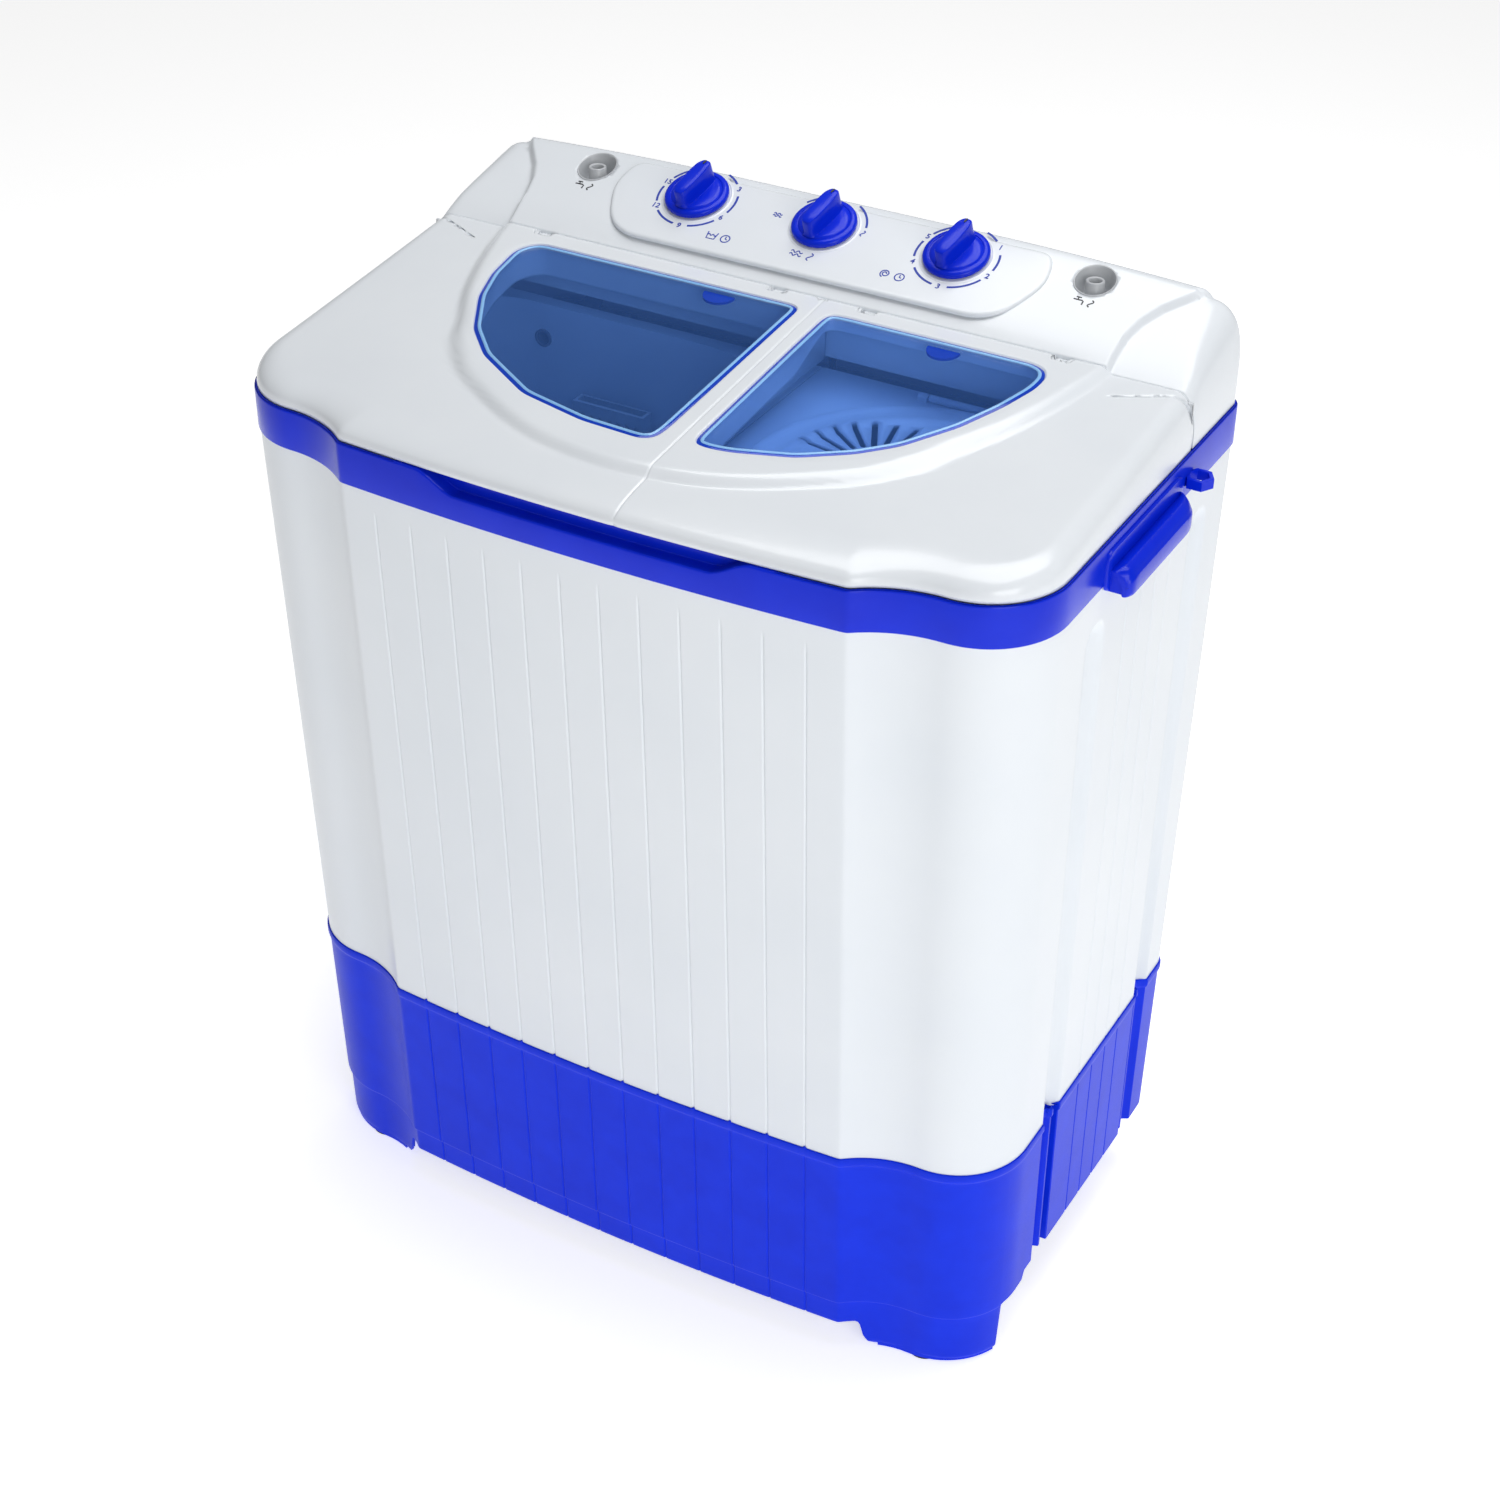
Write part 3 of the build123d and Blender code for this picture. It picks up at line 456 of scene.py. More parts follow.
def halfOutline():
    # from the middle of the front, round the right side, to the middle of the back
    shape = bodyShape
    frontRadius = (shape["creaseX"] ** 2 + shape["bulge"] ** 2) / (2 * shape["bulge"])
    run = shape["halfWidth"] - shape["frontCorner"] - shape["creaseX"]
    cove = (run**2 + shape["creaseStep"] ** 2) / (2 * shape["creaseStep"])
    shoulderX = shape["creaseX"] + run
    shoulderY = -shape["halfDepth"] + shape["bulge"] + shape["creaseStep"]
    x = np.linspace(0, shape["creaseX"], 400)
    front = np.stack([x, -shape["halfDepth"] + frontRadius - np.sqrt(frontRadius**2 - x**2)], 1)
    a = np.linspace(math.asin(run / cove), 0, 120)
    hollow = np.stack([shoulderX - cove * np.sin(a), shoulderY - cove * (1 - np.cos(a))], 1)
    a = np.linspace(0, math.pi / 2, 160)
    corner = np.stack([
        shoulderX + shape["frontCorner"] * np.sin(a), shoulderY + shape["frontCorner"] * (1 - np.cos(a))
    ], 1)
    rear = shape["rearCorner"]
    bend = np.stack([
        shape["halfWidth"] - rear * (1 - np.cos(a)), shape["halfDepth"] - rear * (1 - np.sin(a))
    ], 1)
    path = np.vstack([front, hollow[1:], corner[1:], bend, [[0, shape["halfDepth"]]]])
    step = 0.5
    path = resample(path, step)
    mirror = path[1:-1][::-1] * np.array([-1, 1])
    whole = soften(np.vstack([path, mirror]), shape["creaseRound"], step)
    normal = outward(whole)
    count = len(path)
    travel = np.concatenate([[0], np.cumsum(np.hypot(*np.diff(whole[:count], axis=0).T))])
    return whole[:count], normal[:count], travel


outlinePath, outlineNormal, outlineTravel = halfOutline()
sideStart = int(np.argmax(outlinePath[:, 1] > -117.5))


def travelAtX(x):
    part = slice(0, sideStart)
    return float(np.interp(x, outlinePath[part, 0], outlineTravel[part]))


def travelAtY(y):
    part = outlinePath[:, 1] < 213
    return float(np.interp(y, outlinePath[part, 1], outlineTravel[part]))


rearCentre = float(outlineTravel[-1])


def columnsFor(fronts, sides, spacing=7.0):
    # travel marks of a wall's columns on the right half: features first, then even filling
    marks = [travelAtX(x + d) for x, spread in fronts for d in spread if x + d > 0]
    marks += [travelAtY(y + d) for y, spread in sides for d in spread]
    corner = [travelAtX(bodyShape["creaseX"]) + d for d in (-9, -6, -4, -2.5, -1.2, 0, 1.2, 2.5, 4, 6, 9)]
    corner += list(np.linspace(travelAtX(bodyShape["creaseX"]) + 12, travelAtY(-117), 36))
    corner += list(travelAtY(200) + np.linspace(0, 28, 9))
    marks += corner + [0.0, rearCentre]
    marks = np.unique(np.round(marks, 3))
    filled = []
    for a, b in zip(marks[:-1], marks[1:]):
        filled += list(np.linspace(a, b, max(1, int(math.ceil((b - a) / spacing))), endpoint=False))
    filled.append(marks[-1])
    marks = np.array(filled)
    return marks[np.concatenate([[True], np.diff(marks) > 0.05])]


def wholeColumns(marks):
    # the marks, both halves: front centre, right side, rear centre, left side
    place = np.stack([np.interp(marks, outlineTravel, outlinePath[:, k]) for k in range(2)], 1)
    normal = np.stack([np.interp(marks, outlineTravel, outlineNormal[:, k]) for k in range(2)], 1)
    normal /= np.linalg.norm(normal, axis=1, keepdims=True)
    flip = np.array([-1, 1])
    return np.vstack([place, place[1:-1][::-1] * flip]), np.vstack([normal, normal[1:-1][::-1] * flip])


def tapered(place, z):
    # the body narrows downwards, and the side features lean a little with the front
    shape = bodyShape
    drop = np.maximum(0.0, shape["bandBottom"] - z)
    run = shape["halfWidth"] - shape["frontCorner"] - shape["creaseX"]
    share = np.clip((np.abs(place[:, 0]) - shape["creaseX"]) / run, 0, 1)
    x = place[:, 0] - np.sign(place[:, 0]) * drop * shape["sideTaper"] * share
    lean = np.interp(place[:, 1], [-118, -59, 86, 141, 200], [1.0, 0.45, 0.34, 0.0, -1.0])
    return np.stack([x, place[:, 1] + drop * shape["endTaper"] * lean, np.broadcast_to(z, x.shape)], 1)


def onFront(place):
    return place[:, 1] < -190


def wallRing(place, normal, inset, z):
    moved = place - normal * np.reshape(inset, (-1, 1))
    return tapered(moved, np.broadcast_to(np.asarray(z, dtype=float), (len(place),)))


grooves = {
    "frontX": [17.2, 51.7, 86.2, 120.6, 155.1, 189.6],
    "sideY": [0.3, 29.4, 58.0, 86.0],
    "width": 1.1,
    "depth": 0.85,
    "topFade": (716.0, 728.0),
}
channels = {"y": (-59.0, 143.0), "halfWidth": 17.5, "depth": 11.0, "top": 712.0, "softEdge": 3.0}
grooveSpread = (-2.0, -1.3, -0.8, -0.35, 0.0, 0.35, 0.8, 1.3, 2.0)
channelSpread = tuple(np.linspace(-23, 23, 31))


def frontGap(place):
    # how far each column is from the nearest front groove; far off on the other faces
    across = np.full(len(place), 99.0)
    for x in grooves["frontX"]:
        near = np.minimum(across, np.abs(np.abs(place[:, 0]) - x))
        across = np.where(onFront(place), near, across)
    return across


def grooveDepth(place, z):
    # thin V grooves, front and side
    across = frontGap(place)
    side = np.abs(place[:, 0]) > 345
    for y in grooves["sideY"]:
        across = np.where(side, np.minimum(across, np.abs(place[:, 1] - y)), across)
    cut = np.clip(1 - across / grooves["width"], 0, 1) ** 0.8 * grooves["depth"]
    low, high = grooves["topFade"]
    return cut * smoothStep((high - z) / (high - low))


def channelDepth(place, z):
    # half-round vertical channels with a rounded upper end
    half, depth = channels["halfWidth"], channels["depth"]
    radius = (half**2 + depth**2) / (2 * depth)
    cut = np.zeros(len(place))
    for y in channels["y"]:
        over = np.maximum(0, z - (channels["top"] - half))
        reach = np.hypot(place[:, 1] - y, over)
        bowl = np.sqrt(np.maximum(0, radius**2 - reach**2)) - (radius - depth)
        edge = channels["softEdge"]
        soft = np.where(
            reach > half - edge,
            0.12 * edge * np.clip((half + edge - reach) / (2 * edge), 0, 1) ** 2 * 4,
            0,
        )
        bowl = np.where(reach < half - edge, bowl, np.maximum(bowl, 0))
        bowl = np.maximum(bowl, soft * (reach > half - 1))
        cut = np.maximum(cut, np.where(np.abs(place[:, 0]) > 340, bowl, 0))
    return cut


fronts = [(x, grooveSpread) for x in grooves["frontX"]]
sides = [(y, grooveSpread) for y in grooves["sideY"]] + [(y, channelSpread) for y in channels["y"]]
wallMarks = columnsFor(fronts, sides)
wallPlace, wallNormal = wholeColumns(wallMarks)

wrap = {"inset": 1.5, "thickness": 2.2, "top": 745.0, "bottom": 225.0}


def makeWrap():
    # the white cabinet wrap between the band and the base
    levels = [wrap["top"], 742, 738, 734] + list(np.arange(730, 686, -2.0)) + list(np.linspace(680, 240, 16))
    levels += [234, 230, wrap["bottom"]]
    rings = []
    for z in levels:
        inset = wrap["inset"] + grooveDepth(wallPlace, z) + channelDepth(wallPlace, z)
        rings.append(wallRing(wallPlace, wallNormal, inset, z))
    points, faces = loopStack(rings)
    addMesh("cabinetWrap", points, faces, plastics["satinWhitePaint"], "cabinet", ["cabinet_wrap"],
            "white_plastic", solid=wrap["thickness"])


makeWrap()

base = {
    "inset": 1.3,
    "thickness": 3.0,
    "creaseZ": 57.0,
    "creaseStep": 2.4,
    "frontBottom": 32.0,
    "legX": (234.0, 246.0),
    "legBack": -116.0,
    "foot": 3.0,
}


def baseSideCut(place):
    # in the base each channel narrows to a hollow, a rib and a deep dark slot
    cut = np.zeros(len(place))
    side = np.abs(place[:, 0]) > 340
    for centre, way in zip(channels["y"], (1, -1)):
        u = (place[:, 1] - centre) * way
        profile = np.interp(
            u,
            [-18.5, -17.5, -14, -9, -4, 0, 3.0, 4.4, 5.0, 7.6, 8.4, 9.0, 15.6, 16.2, 17.2],
            [0, 0.6, 4.5, 8.0, 9.0, 8.5, 6.5, 3.0, 2.2, 2.2, 3.0, 15.0, 15.0, 0.8, 0],
        )
        cut = np.maximum(cut, np.where(side, profile, 0))
    return cut


def baseBottom(place):
    # the lower edge: open front between the legs, higher sides and back, a leg at each front corner
    low = tapered(place, 60.0)
    x, y = np.abs(low[:, 0]), low[:, 1]
    inner, outer = base["legX"]
    edge, foot, back = base["frontBottom"], base["foot"], base["legBack"]
    front = np.interp(x, [inner, inner + 3, outer - 6, outer - 2, outer + 3], [edge, edge - 2, 14, 6, foot])
    side = np.interp(y, [back - 0.1, back, -80.5, -78, 150, 240], [foot, 60.0, 61.0, 69.0, 64.0, 64.0])
    return np.where(y < back, front, side)


def makeBase():
    slotEdges = np.array([3.0, 4.4, 5, 7.6, 8.4, 9.0, 15.6, 16.2, 17.2])
    spreads = [(y, tuple(np.unique(np.concatenate([channelSpread, slotEdges * way]))))
               for y, way in zip(channels["y"], (1, -1))]
    steps = [(-140.5, (-1.5, -0.5, 0, 0.3, 1.0)), (-91, tuple(np.linspace(-4, 4, 9)))]
    legs = [(x, (-3, -1, 0, 1.5, 3)) for x in (236, 240, 244, 248)]
    marks = columnsFor(fronts + legs, [(y, grooveSpread) for y in grooves["sideY"]] + spreads + steps, 6.0)
    place, normal = wholeColumns(marks)
    bottom = baseBottom(place)
    top = bodyShape["baseTop"]
    bump = smoothStep(1 - frontGap(place) / 2.4) * 1.6
    cut = baseSideCut(place)
    levels = [top + rise for rise in (1.2, 1.8, 1.2, -0.4, -3, -5, -6.4, -7.6, -9, -12)]
    levels += list(np.linspace(210, 66, 12))
    levels += [61, 59, 58, 57, 56, 54, 48, 40, 34, 32, 28, 24, 20, 16, 12, 9, 7, 5.5, 4.5, 3.6, 3.0]
    lipLevels = [top + rise for rise in (-9, -7.6, -6.4, -5, -3, -0.4, 1.2, 1.8)]
    rings = []
    for k, z in enumerate(levels):
        lip = np.interp(z, lipLevels, [0, 0.25, 1.2, 1.6, 1.6, 1.5, 1.0, 0.2]) if k else -1.6
        inset = base["inset"] - lip + cut
        if z < top - 6:
            inset = inset + grooveDepth(place, z) * smoothStep((top - 7 - z) / 3)
        inset = inset + base["creaseStep"] * smoothStep((base["creaseZ"] + 1.5 - z) / 3.0)
        foot = np.clip((9 - z) / 6, 0, 1) ** 2 * 3.0
        level = np.maximum(z, bottom)
        if k < 6:
            level = level + bump
        rings.append(wallRing(place, normal, inset + foot * (bottom < 10), level))
    points, faces = loopStack(rings)
    addMesh("baseSkirt", points, faces, plastics["texturedBlueAbs"], "cabinet", ["base_skirt"], "blue_plastic",
            solid=base["thickness"], weld=0.01)


makeBase()
print("wrap and base made")

band = {
    "thickness": 3.0,
    "scoopHalf": 146.0,
    "scoopRamp": 36.0,
    "scoopDrop": 14.0,
    "scoopDeep": 12.0,
    "padHalf": 165.0,
}


def makeBand():
    # the blue band, with the finger scoop pressed into its front
    marks = columnsFor([(146, (-6, -3, -1, 0, 1, 3)), (110, (-4, -1, 0, 1, 4)), (165, (-0.2, 0.2))], [], 7.0)
    place, normal = wholeColumns(marks)
    x = np.abs(place[:, 0])
    front = onFront(place)
    low, high = bodyShape["bandBottom"], bodyShape["bandTop"]
    ramp = np.clip((band["scoopHalf"] - x) / band["scoopRamp"], 0, 1)
    sill = np.where(front, high - band["scoopDrop"] * smoothStep(ramp), high)
    # behind the scoop the wall is a thick pad
    pad = front & (x < band["padHalf"])
    inner = np.where(pad, 22.0, band["thickness"])
    deep = np.where(pad, band["scoopDeep"], 1.2)
    ledge = np.where(pad, 22.0, 16.0)
    under = np.where(pad, 21.8, 3.2)
    rows = [
        (2.0, low + 0.4), (1.0, low), (0.2, low + 0.6), (0.0, low + 1.6), (0.0, low + 12.0),
        (0.0, sill - 1.6), (0.25, sill - 0.7), (1.0, sill), (deep - 0.6, sill), (deep, sill + 0.6),
        (deep, np.maximum(sill, high - 0.2)), (deep + 0.6, high), (inner - 0.4, high), (inner, high - 0.5),
        (inner, 769.0), (ledge, 768.0), (ledge, 764.0), (under, 764.0), (under - 0.2, low + 1.0),
        (2.0, low + 0.4),
    ]
    rings = []
    for inset, z in rows:
        inset = np.broadcast_to(np.asarray(inset, dtype=float), (len(place),))
        rings.append(wallRing(place, normal, inset, np.minimum(z, high)))
    points, faces = loopStack(rings)
    addMesh("topBand", points, faces, plastics["polishedBlueAbs"], "cabinet", ["top_band"], "blue_plastic",
            sharp=40)


makeBand()
print("band made")

# lids and windows

lidShape = {
    "split": 31.8,
    "gap": 1.2,
    "bottom": 779.2,
    "wallTop": 781.2,
    "inset": 4.6,
    "rear": 111.8,
    "planeZ": 817.9,
    "slope": 0.0993,
    "rise": 6.5,
    "stepWidth": 11.0,
    "thickness": 2.2,
    "frontBrow": 46.0,
    "cornerBrow": 28.0,
    "sideBrow": 17.0,
}
plateauSide = [(0, -164.5), (60, -158), (105, -143), (146, -121), (178, -99), (206, -66), (221, -36), (240, -2),
               (254, 32), (266, 70), (274, 104), (277, 130)]
plateauPoints = curveThrough([(-x, y) for x, y in plateauSide[:0:-1]] + plateauSide, steps=10)
plateauCentre = np.array([0.0, 112.0])
plateauAngle = np.arctan2(plateauPoints[:, 0] - plateauCentre[0], -(plateauPoints[:, 1] - plateauCentre[1]))
plateauRadius = np.hypot(*(plateauPoints - plateauCentre).T)


def planeHeight(y):
    return lidShape["planeZ"] + lidShape["slope"] * y


def plateauShare(x, y):
    # 1 on the raised D, 0 outside it
    angle = np.arctan2(x - plateauCentre[0], -(y - plateauCentre[1]))
    reach = np.hypot(x - plateauCentre[0], y - plateauCentre[1])
    edge = np.interp(angle, plateauAngle, plateauRadius)
    return smoothStep((edge - reach) / lidShape["stepWidth"] + 0.5)


lidEdge = outlinePath - outlineNormal * lidShape["inset"]
lidEdgeWhole = np.vstack([lidEdge, lidEdge[1:-1][::-1] * np.array([-1, 1])])
lidEdgeTravel = np.concatenate([outlineTravel, outlineTravel[1:-1][::-1]])


def edgeDistance(x, y):
    # distance from the outer edge, and the travel mark of the nearest point on it
    coarse = slice(None, None, 4)
    path, travel = lidEdgeWhole[coarse], lidEdgeTravel[coarse]
    ahead = np.roll(path, -1, 0) - path
    squared = (ahead**2).sum(1)
    distance = np.full(len(x), 1e9)
    mark = np.zeros(len(x))
    for k in range(0, len(x), 2000):
        spot = np.stack([x[k:k + 2000], y[k:k + 2000]], 1)
        gap = spot[:, None, :] - path[None, :, :]
        t = np.clip((gap * ahead[None]).sum(2) / squared[None], 0, 1)
        off = np.hypot(*(gap - t[:, :, None] * ahead[None]).transpose(2, 0, 1))
        best = off.argmin(1)
        distance[k:k + 2000] = off[np.arange(len(spot)), best]
        mark[k:k + 2000] = travel[best]
    return distance, mark


browMarks = [travelAtX(150), travelAtX(215), travelAtX(300), travelAtY(-118), travelAtY(-60)]


def browFactor(x, y, radii):
    distance, mark = edgeDistance(x, y)
    radius = np.interp(mark, browMarks, radii)
    u = np.clip(1 - distance / radius, 0, 1)
    return np.maximum(0, 1 - u**2.4) ** (1 / 2.4)


def lidHeight(x, y):
    level = planeHeight(y) - lidShape["rise"] * (1 - plateauShare(x, y))
    radii = [lidShape["frontBrow"], 40.0, lidShape["cornerBrow"], lidShape["sideBrow"], lidShape["sideBrow"]]
    return lidShape["wallTop"] + (level - lidShape["wallTop"]) * browFactor(x, y, radii)


windows = {
    "wash": [(-243, 72), (-236, 86), (-226, 92.5), (-120, 93), (0, 93.5), (15, 93.5), (21.6, 88), (21.0, 60),
             (19.4, -40), (18, -112), (15.5, -126), (6, -132), (-49, -129.5), (-111, -116), (-171, -81),
             (-202, -50), (-228, -4), (-239, 32)],
    "spin": [(41.2, -114), (46, -121), (60, -121.5), (76, -119.4), (122.8, -105), (160, -82), (186, -58),
             (213.7, -15.7), (231, 24), (241, 56.5), (242.5, 76), (237, 88), (224, 93.5), (130, 94), (60, 94),
             (47, 93), (42.6, 86), (42.0, 40), (41.6, -40)],
}


def windowPath(which):
    points = windows[which]
    if which == "wash":
        points = points[::-1]
    return roundedPath(points, 5.0, 1.0, 1.0)


def lidBorder(which):
    # the closed outer border of one lid, anticlockwise
    side = 1 if which == "spin" else -1
    edgeX = lidShape["split"] + side * lidShape["gap"] / 2
    start = travelAtX(abs(edgeX))
    stop = travelAtY(lidShape["rear"])
    front = lidEdge[:sideStart]
    first = [edgeX, np.interp(edgeX, front[:, 0], front[:, 1])]
    if which == "spin":
        run = lidEdge[(outlineTravel > start) & (outlineTravel < stop)]
    else:
        # from the seam back past the middle of the front, then round the left side
        left = lidEdge[outlineTravel < stop] * np.array([-1, 1])
        run = np.vstack([lidEdge[1:][outlineTravel[1:] < start][::-1], left])
    inner = (edgeX, lidShape["rear"])
    outer = resample(np.vstack([[first], run, [[run[-1][0], lidShape["rear"]]]]), 3.0)
    rearEdge = resample(np.array([outer[-1], inner]), 1.5)
    seam = resample(np.array([inner, outer[0]]), 3.0)
    return anticlockwise(np.vstack([outer, rearEdge[1:], seam[1:-1]]))


def castOnto(path, centre, targets):
    # for each target, the point of the path at the same angle seen from the centre
    angle = np.unwrap(np.arctan2(path[:, 1] - centre[1], path[:, 0] - centre[0]))
    wanted = np.arctan2(targets[:, 1] - centre[1], targets[:, 0] - centre[0])
    wrapped = (wanted - angle[0]) % (2 * math.pi) + angle[0]
    extended = np.concatenate([angle, [angle[0] + 2 * math.pi]])
    closed = np.vstack([path, path[:1]])
    return np.stack([np.interp(wrapped, extended, closed[:, k]) for k in range(2)], 1)


lidPieces = {
    "wash": ("wash_lid", "wash_lid_shell", "wash_window"),
    "spin": ("spin_lid", "spin_lid_shell", "spin_window"),
}
hinge = {
    "y": 107.9,
    "z": planeHeight(107.9) - 4.0,
    "radius": 4.0,
    "wash": (-235.0, -10.0),
    "spin": (72.0, 240.0),
}


def makeLid(which):
    border = lidBorder(which)
    hole = windowPath(which)
    holeWide = hole + outward(hole) * 0.5
    centre = hole.mean(0)
    normal = outward(border)
    # at the corners the inset runs along both edges
    small = [border - normal * inset for inset in (0.0, 0.35, 1.2)]
    rest = castOnto(holeWide, centre, border)
    share = (np.linspace(0, 1, 50)[1:]) ** 1.6
    # the rear edge is short, to swing past the safety lid and the console
    foot = np.where(border[:, 1] > lidShape["rear"] - 1.0, hinge["z"] - 7.0, lidShape["bottom"])
    rings = [np.column_stack([border, foot])]
    for inner, drop in zip(small, (1.2, 0.35, 0.0)):
        onCurve = edgeDistance(inner[:, 0], inner[:, 1])[0] < 2.0
        z = lidHeight(inner[:, 0], inner[:, 1]) - np.where(onCurve, 0.0, drop)
        rings.append(np.column_stack([inner, z]))
    for s in share:
        spot = small[-1] * (1 - s) + rest * s
        rings.append(np.column_stack([spot, lidHeight(spot[:, 0], spot[:, 1])]))
    # the edge of the opening: a small round, then a wall that hangs down into the lid
    hang = [(0.25, 0.6), (0.5, 1.6), (0.5, 5.0), (-0.2, 14.0), (-0.6, 25.0), (-0.6, 27.0)]
    away = outward(rest)
    for grow, depth in hang:
        spot = rest - away * grow
        # the spin lid's wall is shallower at the back, where the safety lid swings past it
        short = np.interp(spot[:, 1], [40, 84], [1.0, 0.45]) if which == "spin" else 1.0
        rings.append(np.column_stack([spot, planeHeight(spot[:, 1]) - depth * short]))
    for ring in rings[:4 + len(share)]:
        # the rear edge steps forward in a notch round each of the console's hinge ears
        for x in hinge[which]:
            near = smoothStep((9.0 - np.abs(ring[:, 0] - x)) / 2.5)
            ring[:, 1] = np.minimum(ring[:, 1], 112.5 - 9.6 * near)
    for ring in rings[1:4 + len(share)]:
        # the rear edge of the plateau rounds over the hinge barrel
        back = ring[:, 1] - hinge["y"]
        cap = hinge["z"] + np.sqrt(np.maximum(0.2, (hinge["radius"] + 0.05) ** 2 - np.maximum(back, 0) ** 2))
        ring[:, 2] = np.where(back > 0, np.minimum(ring[:, 2], cap), ring[:, 2])
    points, faces = loopStack(rings)
    body, node = lidPieces[which][:2]
    addMesh(which + "LidShell", points, faces, plastics["glossWhiteAbs"], body, [node], "white_plastic",
            solid=lidShape["thickness"], sharp=40)


for which in lidPieces:
    makeLid(which)


windowSkin = {"top": 0.1, "under": -2.6}


def onPlane(spot, height):
    # a flat ring lifted onto the lids' sloping plane
    return np.column_stack([spot, planeHeight(spot[:, 1]) + height])


def makeWindow(which):
    path = windowPath(which)
    away = outward(path)
    centre = path.mean(0)
    rows = [
        (0.3, -2.6), (0.0, -2.2), (0.0, -0.4), (0.5, 0.2), (2.2, 0.9), (3.9, 1.2), (4.4, 1.6), (5.0, 2.2),
        (5.8, 2.4), (6.6, 2.2), (7.2, 1.6), (7.6, 0.8), (8.4, 0.1),
    ]
    rings = [onPlane(path - away * inset, height) for inset, height in rows]
    last = rings[-1][:, :2]
    shrunk = [centre + (last - centre) * share for share in (0.93, 0.75, 0.5, 0.25)]
    rings += [onPlane(spot, windowSkin["top"]) for spot in shrunk]
    under = shrunk[::-1] + [path - away * 8.4, path - away * 4.0]
    under = [onPlane(spot, windowSkin["under"]) for spot in under]
    topCount = len(rings)
    count = len(path)
    points = np.concatenate(rings + under)
    faces = gridFaces(topCount, count, True)
    offset = topCount * count
    faces += [tuple(k + offset for k in face) for face in gridFaces(len(under), count, True)]
    lastUnder = offset + (len(under) - 1) * count
    for k in range(count):
        j = (k + 1) % count
        faces.append((lastUnder + k, lastUnder + j, j, k))
    hubTop = len(points)
    points = np.vstack([points] + [onPlane(centre[None], windowSkin[face]) for face in ("top", "under")])
    topRing = (topCount - 1) * count
    for k in range(count):
        j = (k + 1) % count
        faces.append((topRing + k, topRing + j, hubTop))
        faces.append((offset + j, offset + k, hubTop + 1))
    body, node = lidPieces[which][0], lidPieces[which][2]
    piece = addMesh(which + "Window", points, faces, [windowPane, windowBead, windowEdge], body, [node],
                    "window_plastic", sharp=50, weld=0.0)
    for index, polygon in enumerate(piece.data.polygons):
        row = index // count
        if index < (topCount - 1) * count:
            polygon.material_index = 2 if row < 6 else 1 if row < 10 else 0


for which in lidPieces:
    makeWindow(which)
print("lids and windows made")

# console

console = {
    "halfWidth": 350.5,
    "front": 113.3,
    "rear": 213.5,
    "bottom": 779.0,
    "endRound": (17.0, 32.0),
    "rise": 6.0,
    "stepWidth": 5.0,
    "archFall": 6.5,
    "faceY": 174.5,
    "faceZ": 859.5,
    "faceAngle": 21.0,
}
cups = {"x": 231.0, "y": 186.0, "z": 865.0, "bore": 17.4}
consoleProfile = curveThrough(
    [(112.7, 829.2), (124, 837.0), (138, 844.9), (155, 852.0), (174.5, 859.5), (190, 865.4), (200, 869.0),
     (206, 870.6), (210, 870.4), (213, 868.9), (215.5, 866.0)], steps=8)


def consoleHeight(x, y):
    level = np.interp(y, consoleProfile[:, 0], consoleProfile[:, 1])
    stepX = np.interp(y, [98, 120, 143, 161, 179, 197, 215], [277, 276, 277.5, 282, 291.5, 306, 318])
    share = np.clip((y - console["front"]) / 95.0, 0, 1)
    level = level - console["archFall"] * share * np.clip((np.abs(x) - 130) / 200, 0, 1.1) ** 1.7
    level = level - console["rise"] * (1 - smoothStep((stepX - np.abs(x)) / console["stepWidth"] + 0.5))
    radius = np.interp(y, [112.7, 200], console["endRound"])
    u = np.clip(1 - (console["halfWidth"] - np.abs(x)) / radius, 0, 1)
    low = lidShape["wallTop"]
    return low + (level - low) * np.maximum(0, 1 - u**2.6) ** (1 / 2.6)


def makeConsole():
    half = console["halfWidth"]
    x = np.concatenate([
        half - np.array([0, 0.15, 0.5, 1.1, 2, 3.2, 5, 7, 9.5, 12, 15, 18, 22, 26, 30, 34, 38]),
        np.arange(308, 262, -1.5), np.linspace(258, 4, 60)])
    x = np.unique(np.concatenate([-x, [0.0], x]))
    share = np.concatenate([
        [0, 0.004, 0.012], np.linspace(0.03, 0.62, 22), np.linspace(0.65, 0.99, 30), [0.995, 1.0]])
    corner = 14.0
    over = np.clip((np.abs(x) - (half - corner)) / corner, 0, 1)
    rear = console["rear"] - corner * (1 - np.sqrt(np.maximum(0, 1 - over**2)))
    grid = []
    for s in share:
        y = console["front"] + (rear - console["front"]) * s
        z = consoleHeight(x, y)
        if s < 0.003:
            z = z - 0.7
        grid.append(np.stack([x, y, z], 1))
    low = console["bottom"]
    first, last = grid[0].copy(), grid[-1].copy()
    first[:, 2] = low
    last[:, 2] = low
    grid = [first] + grid + [last]
    grid = [np.vstack([[row[0][0], row[0][1], low], row, [row[-1][0], row[-1][1], low]]) for row in grid]
    columns = len(grid[0])
    points = np.concatenate(grid)
    faces = gridFaces(len(grid), columns)
    parts = [(points, faces)]
    for ear in hinge["wash"] + hinge["spin"]:
        parts.append(earPart(ear))
    points, faces = joinParts(parts)
    cover = addMesh("consoleCover", points, faces, plastics["glossWhiteAbs"], "cabinet", ["console_cover"],
                    "white_plastic", sharp=40)
    bore = [(0.01, 800), (cups["bore"], 800), (cups["bore"], 900), (0.01, 900)]
    bores = [turnProfile(bore, (side * cups["x"], cups["y"]), 56) for side in (-1, 1)]
    cutAway(cover, bores)


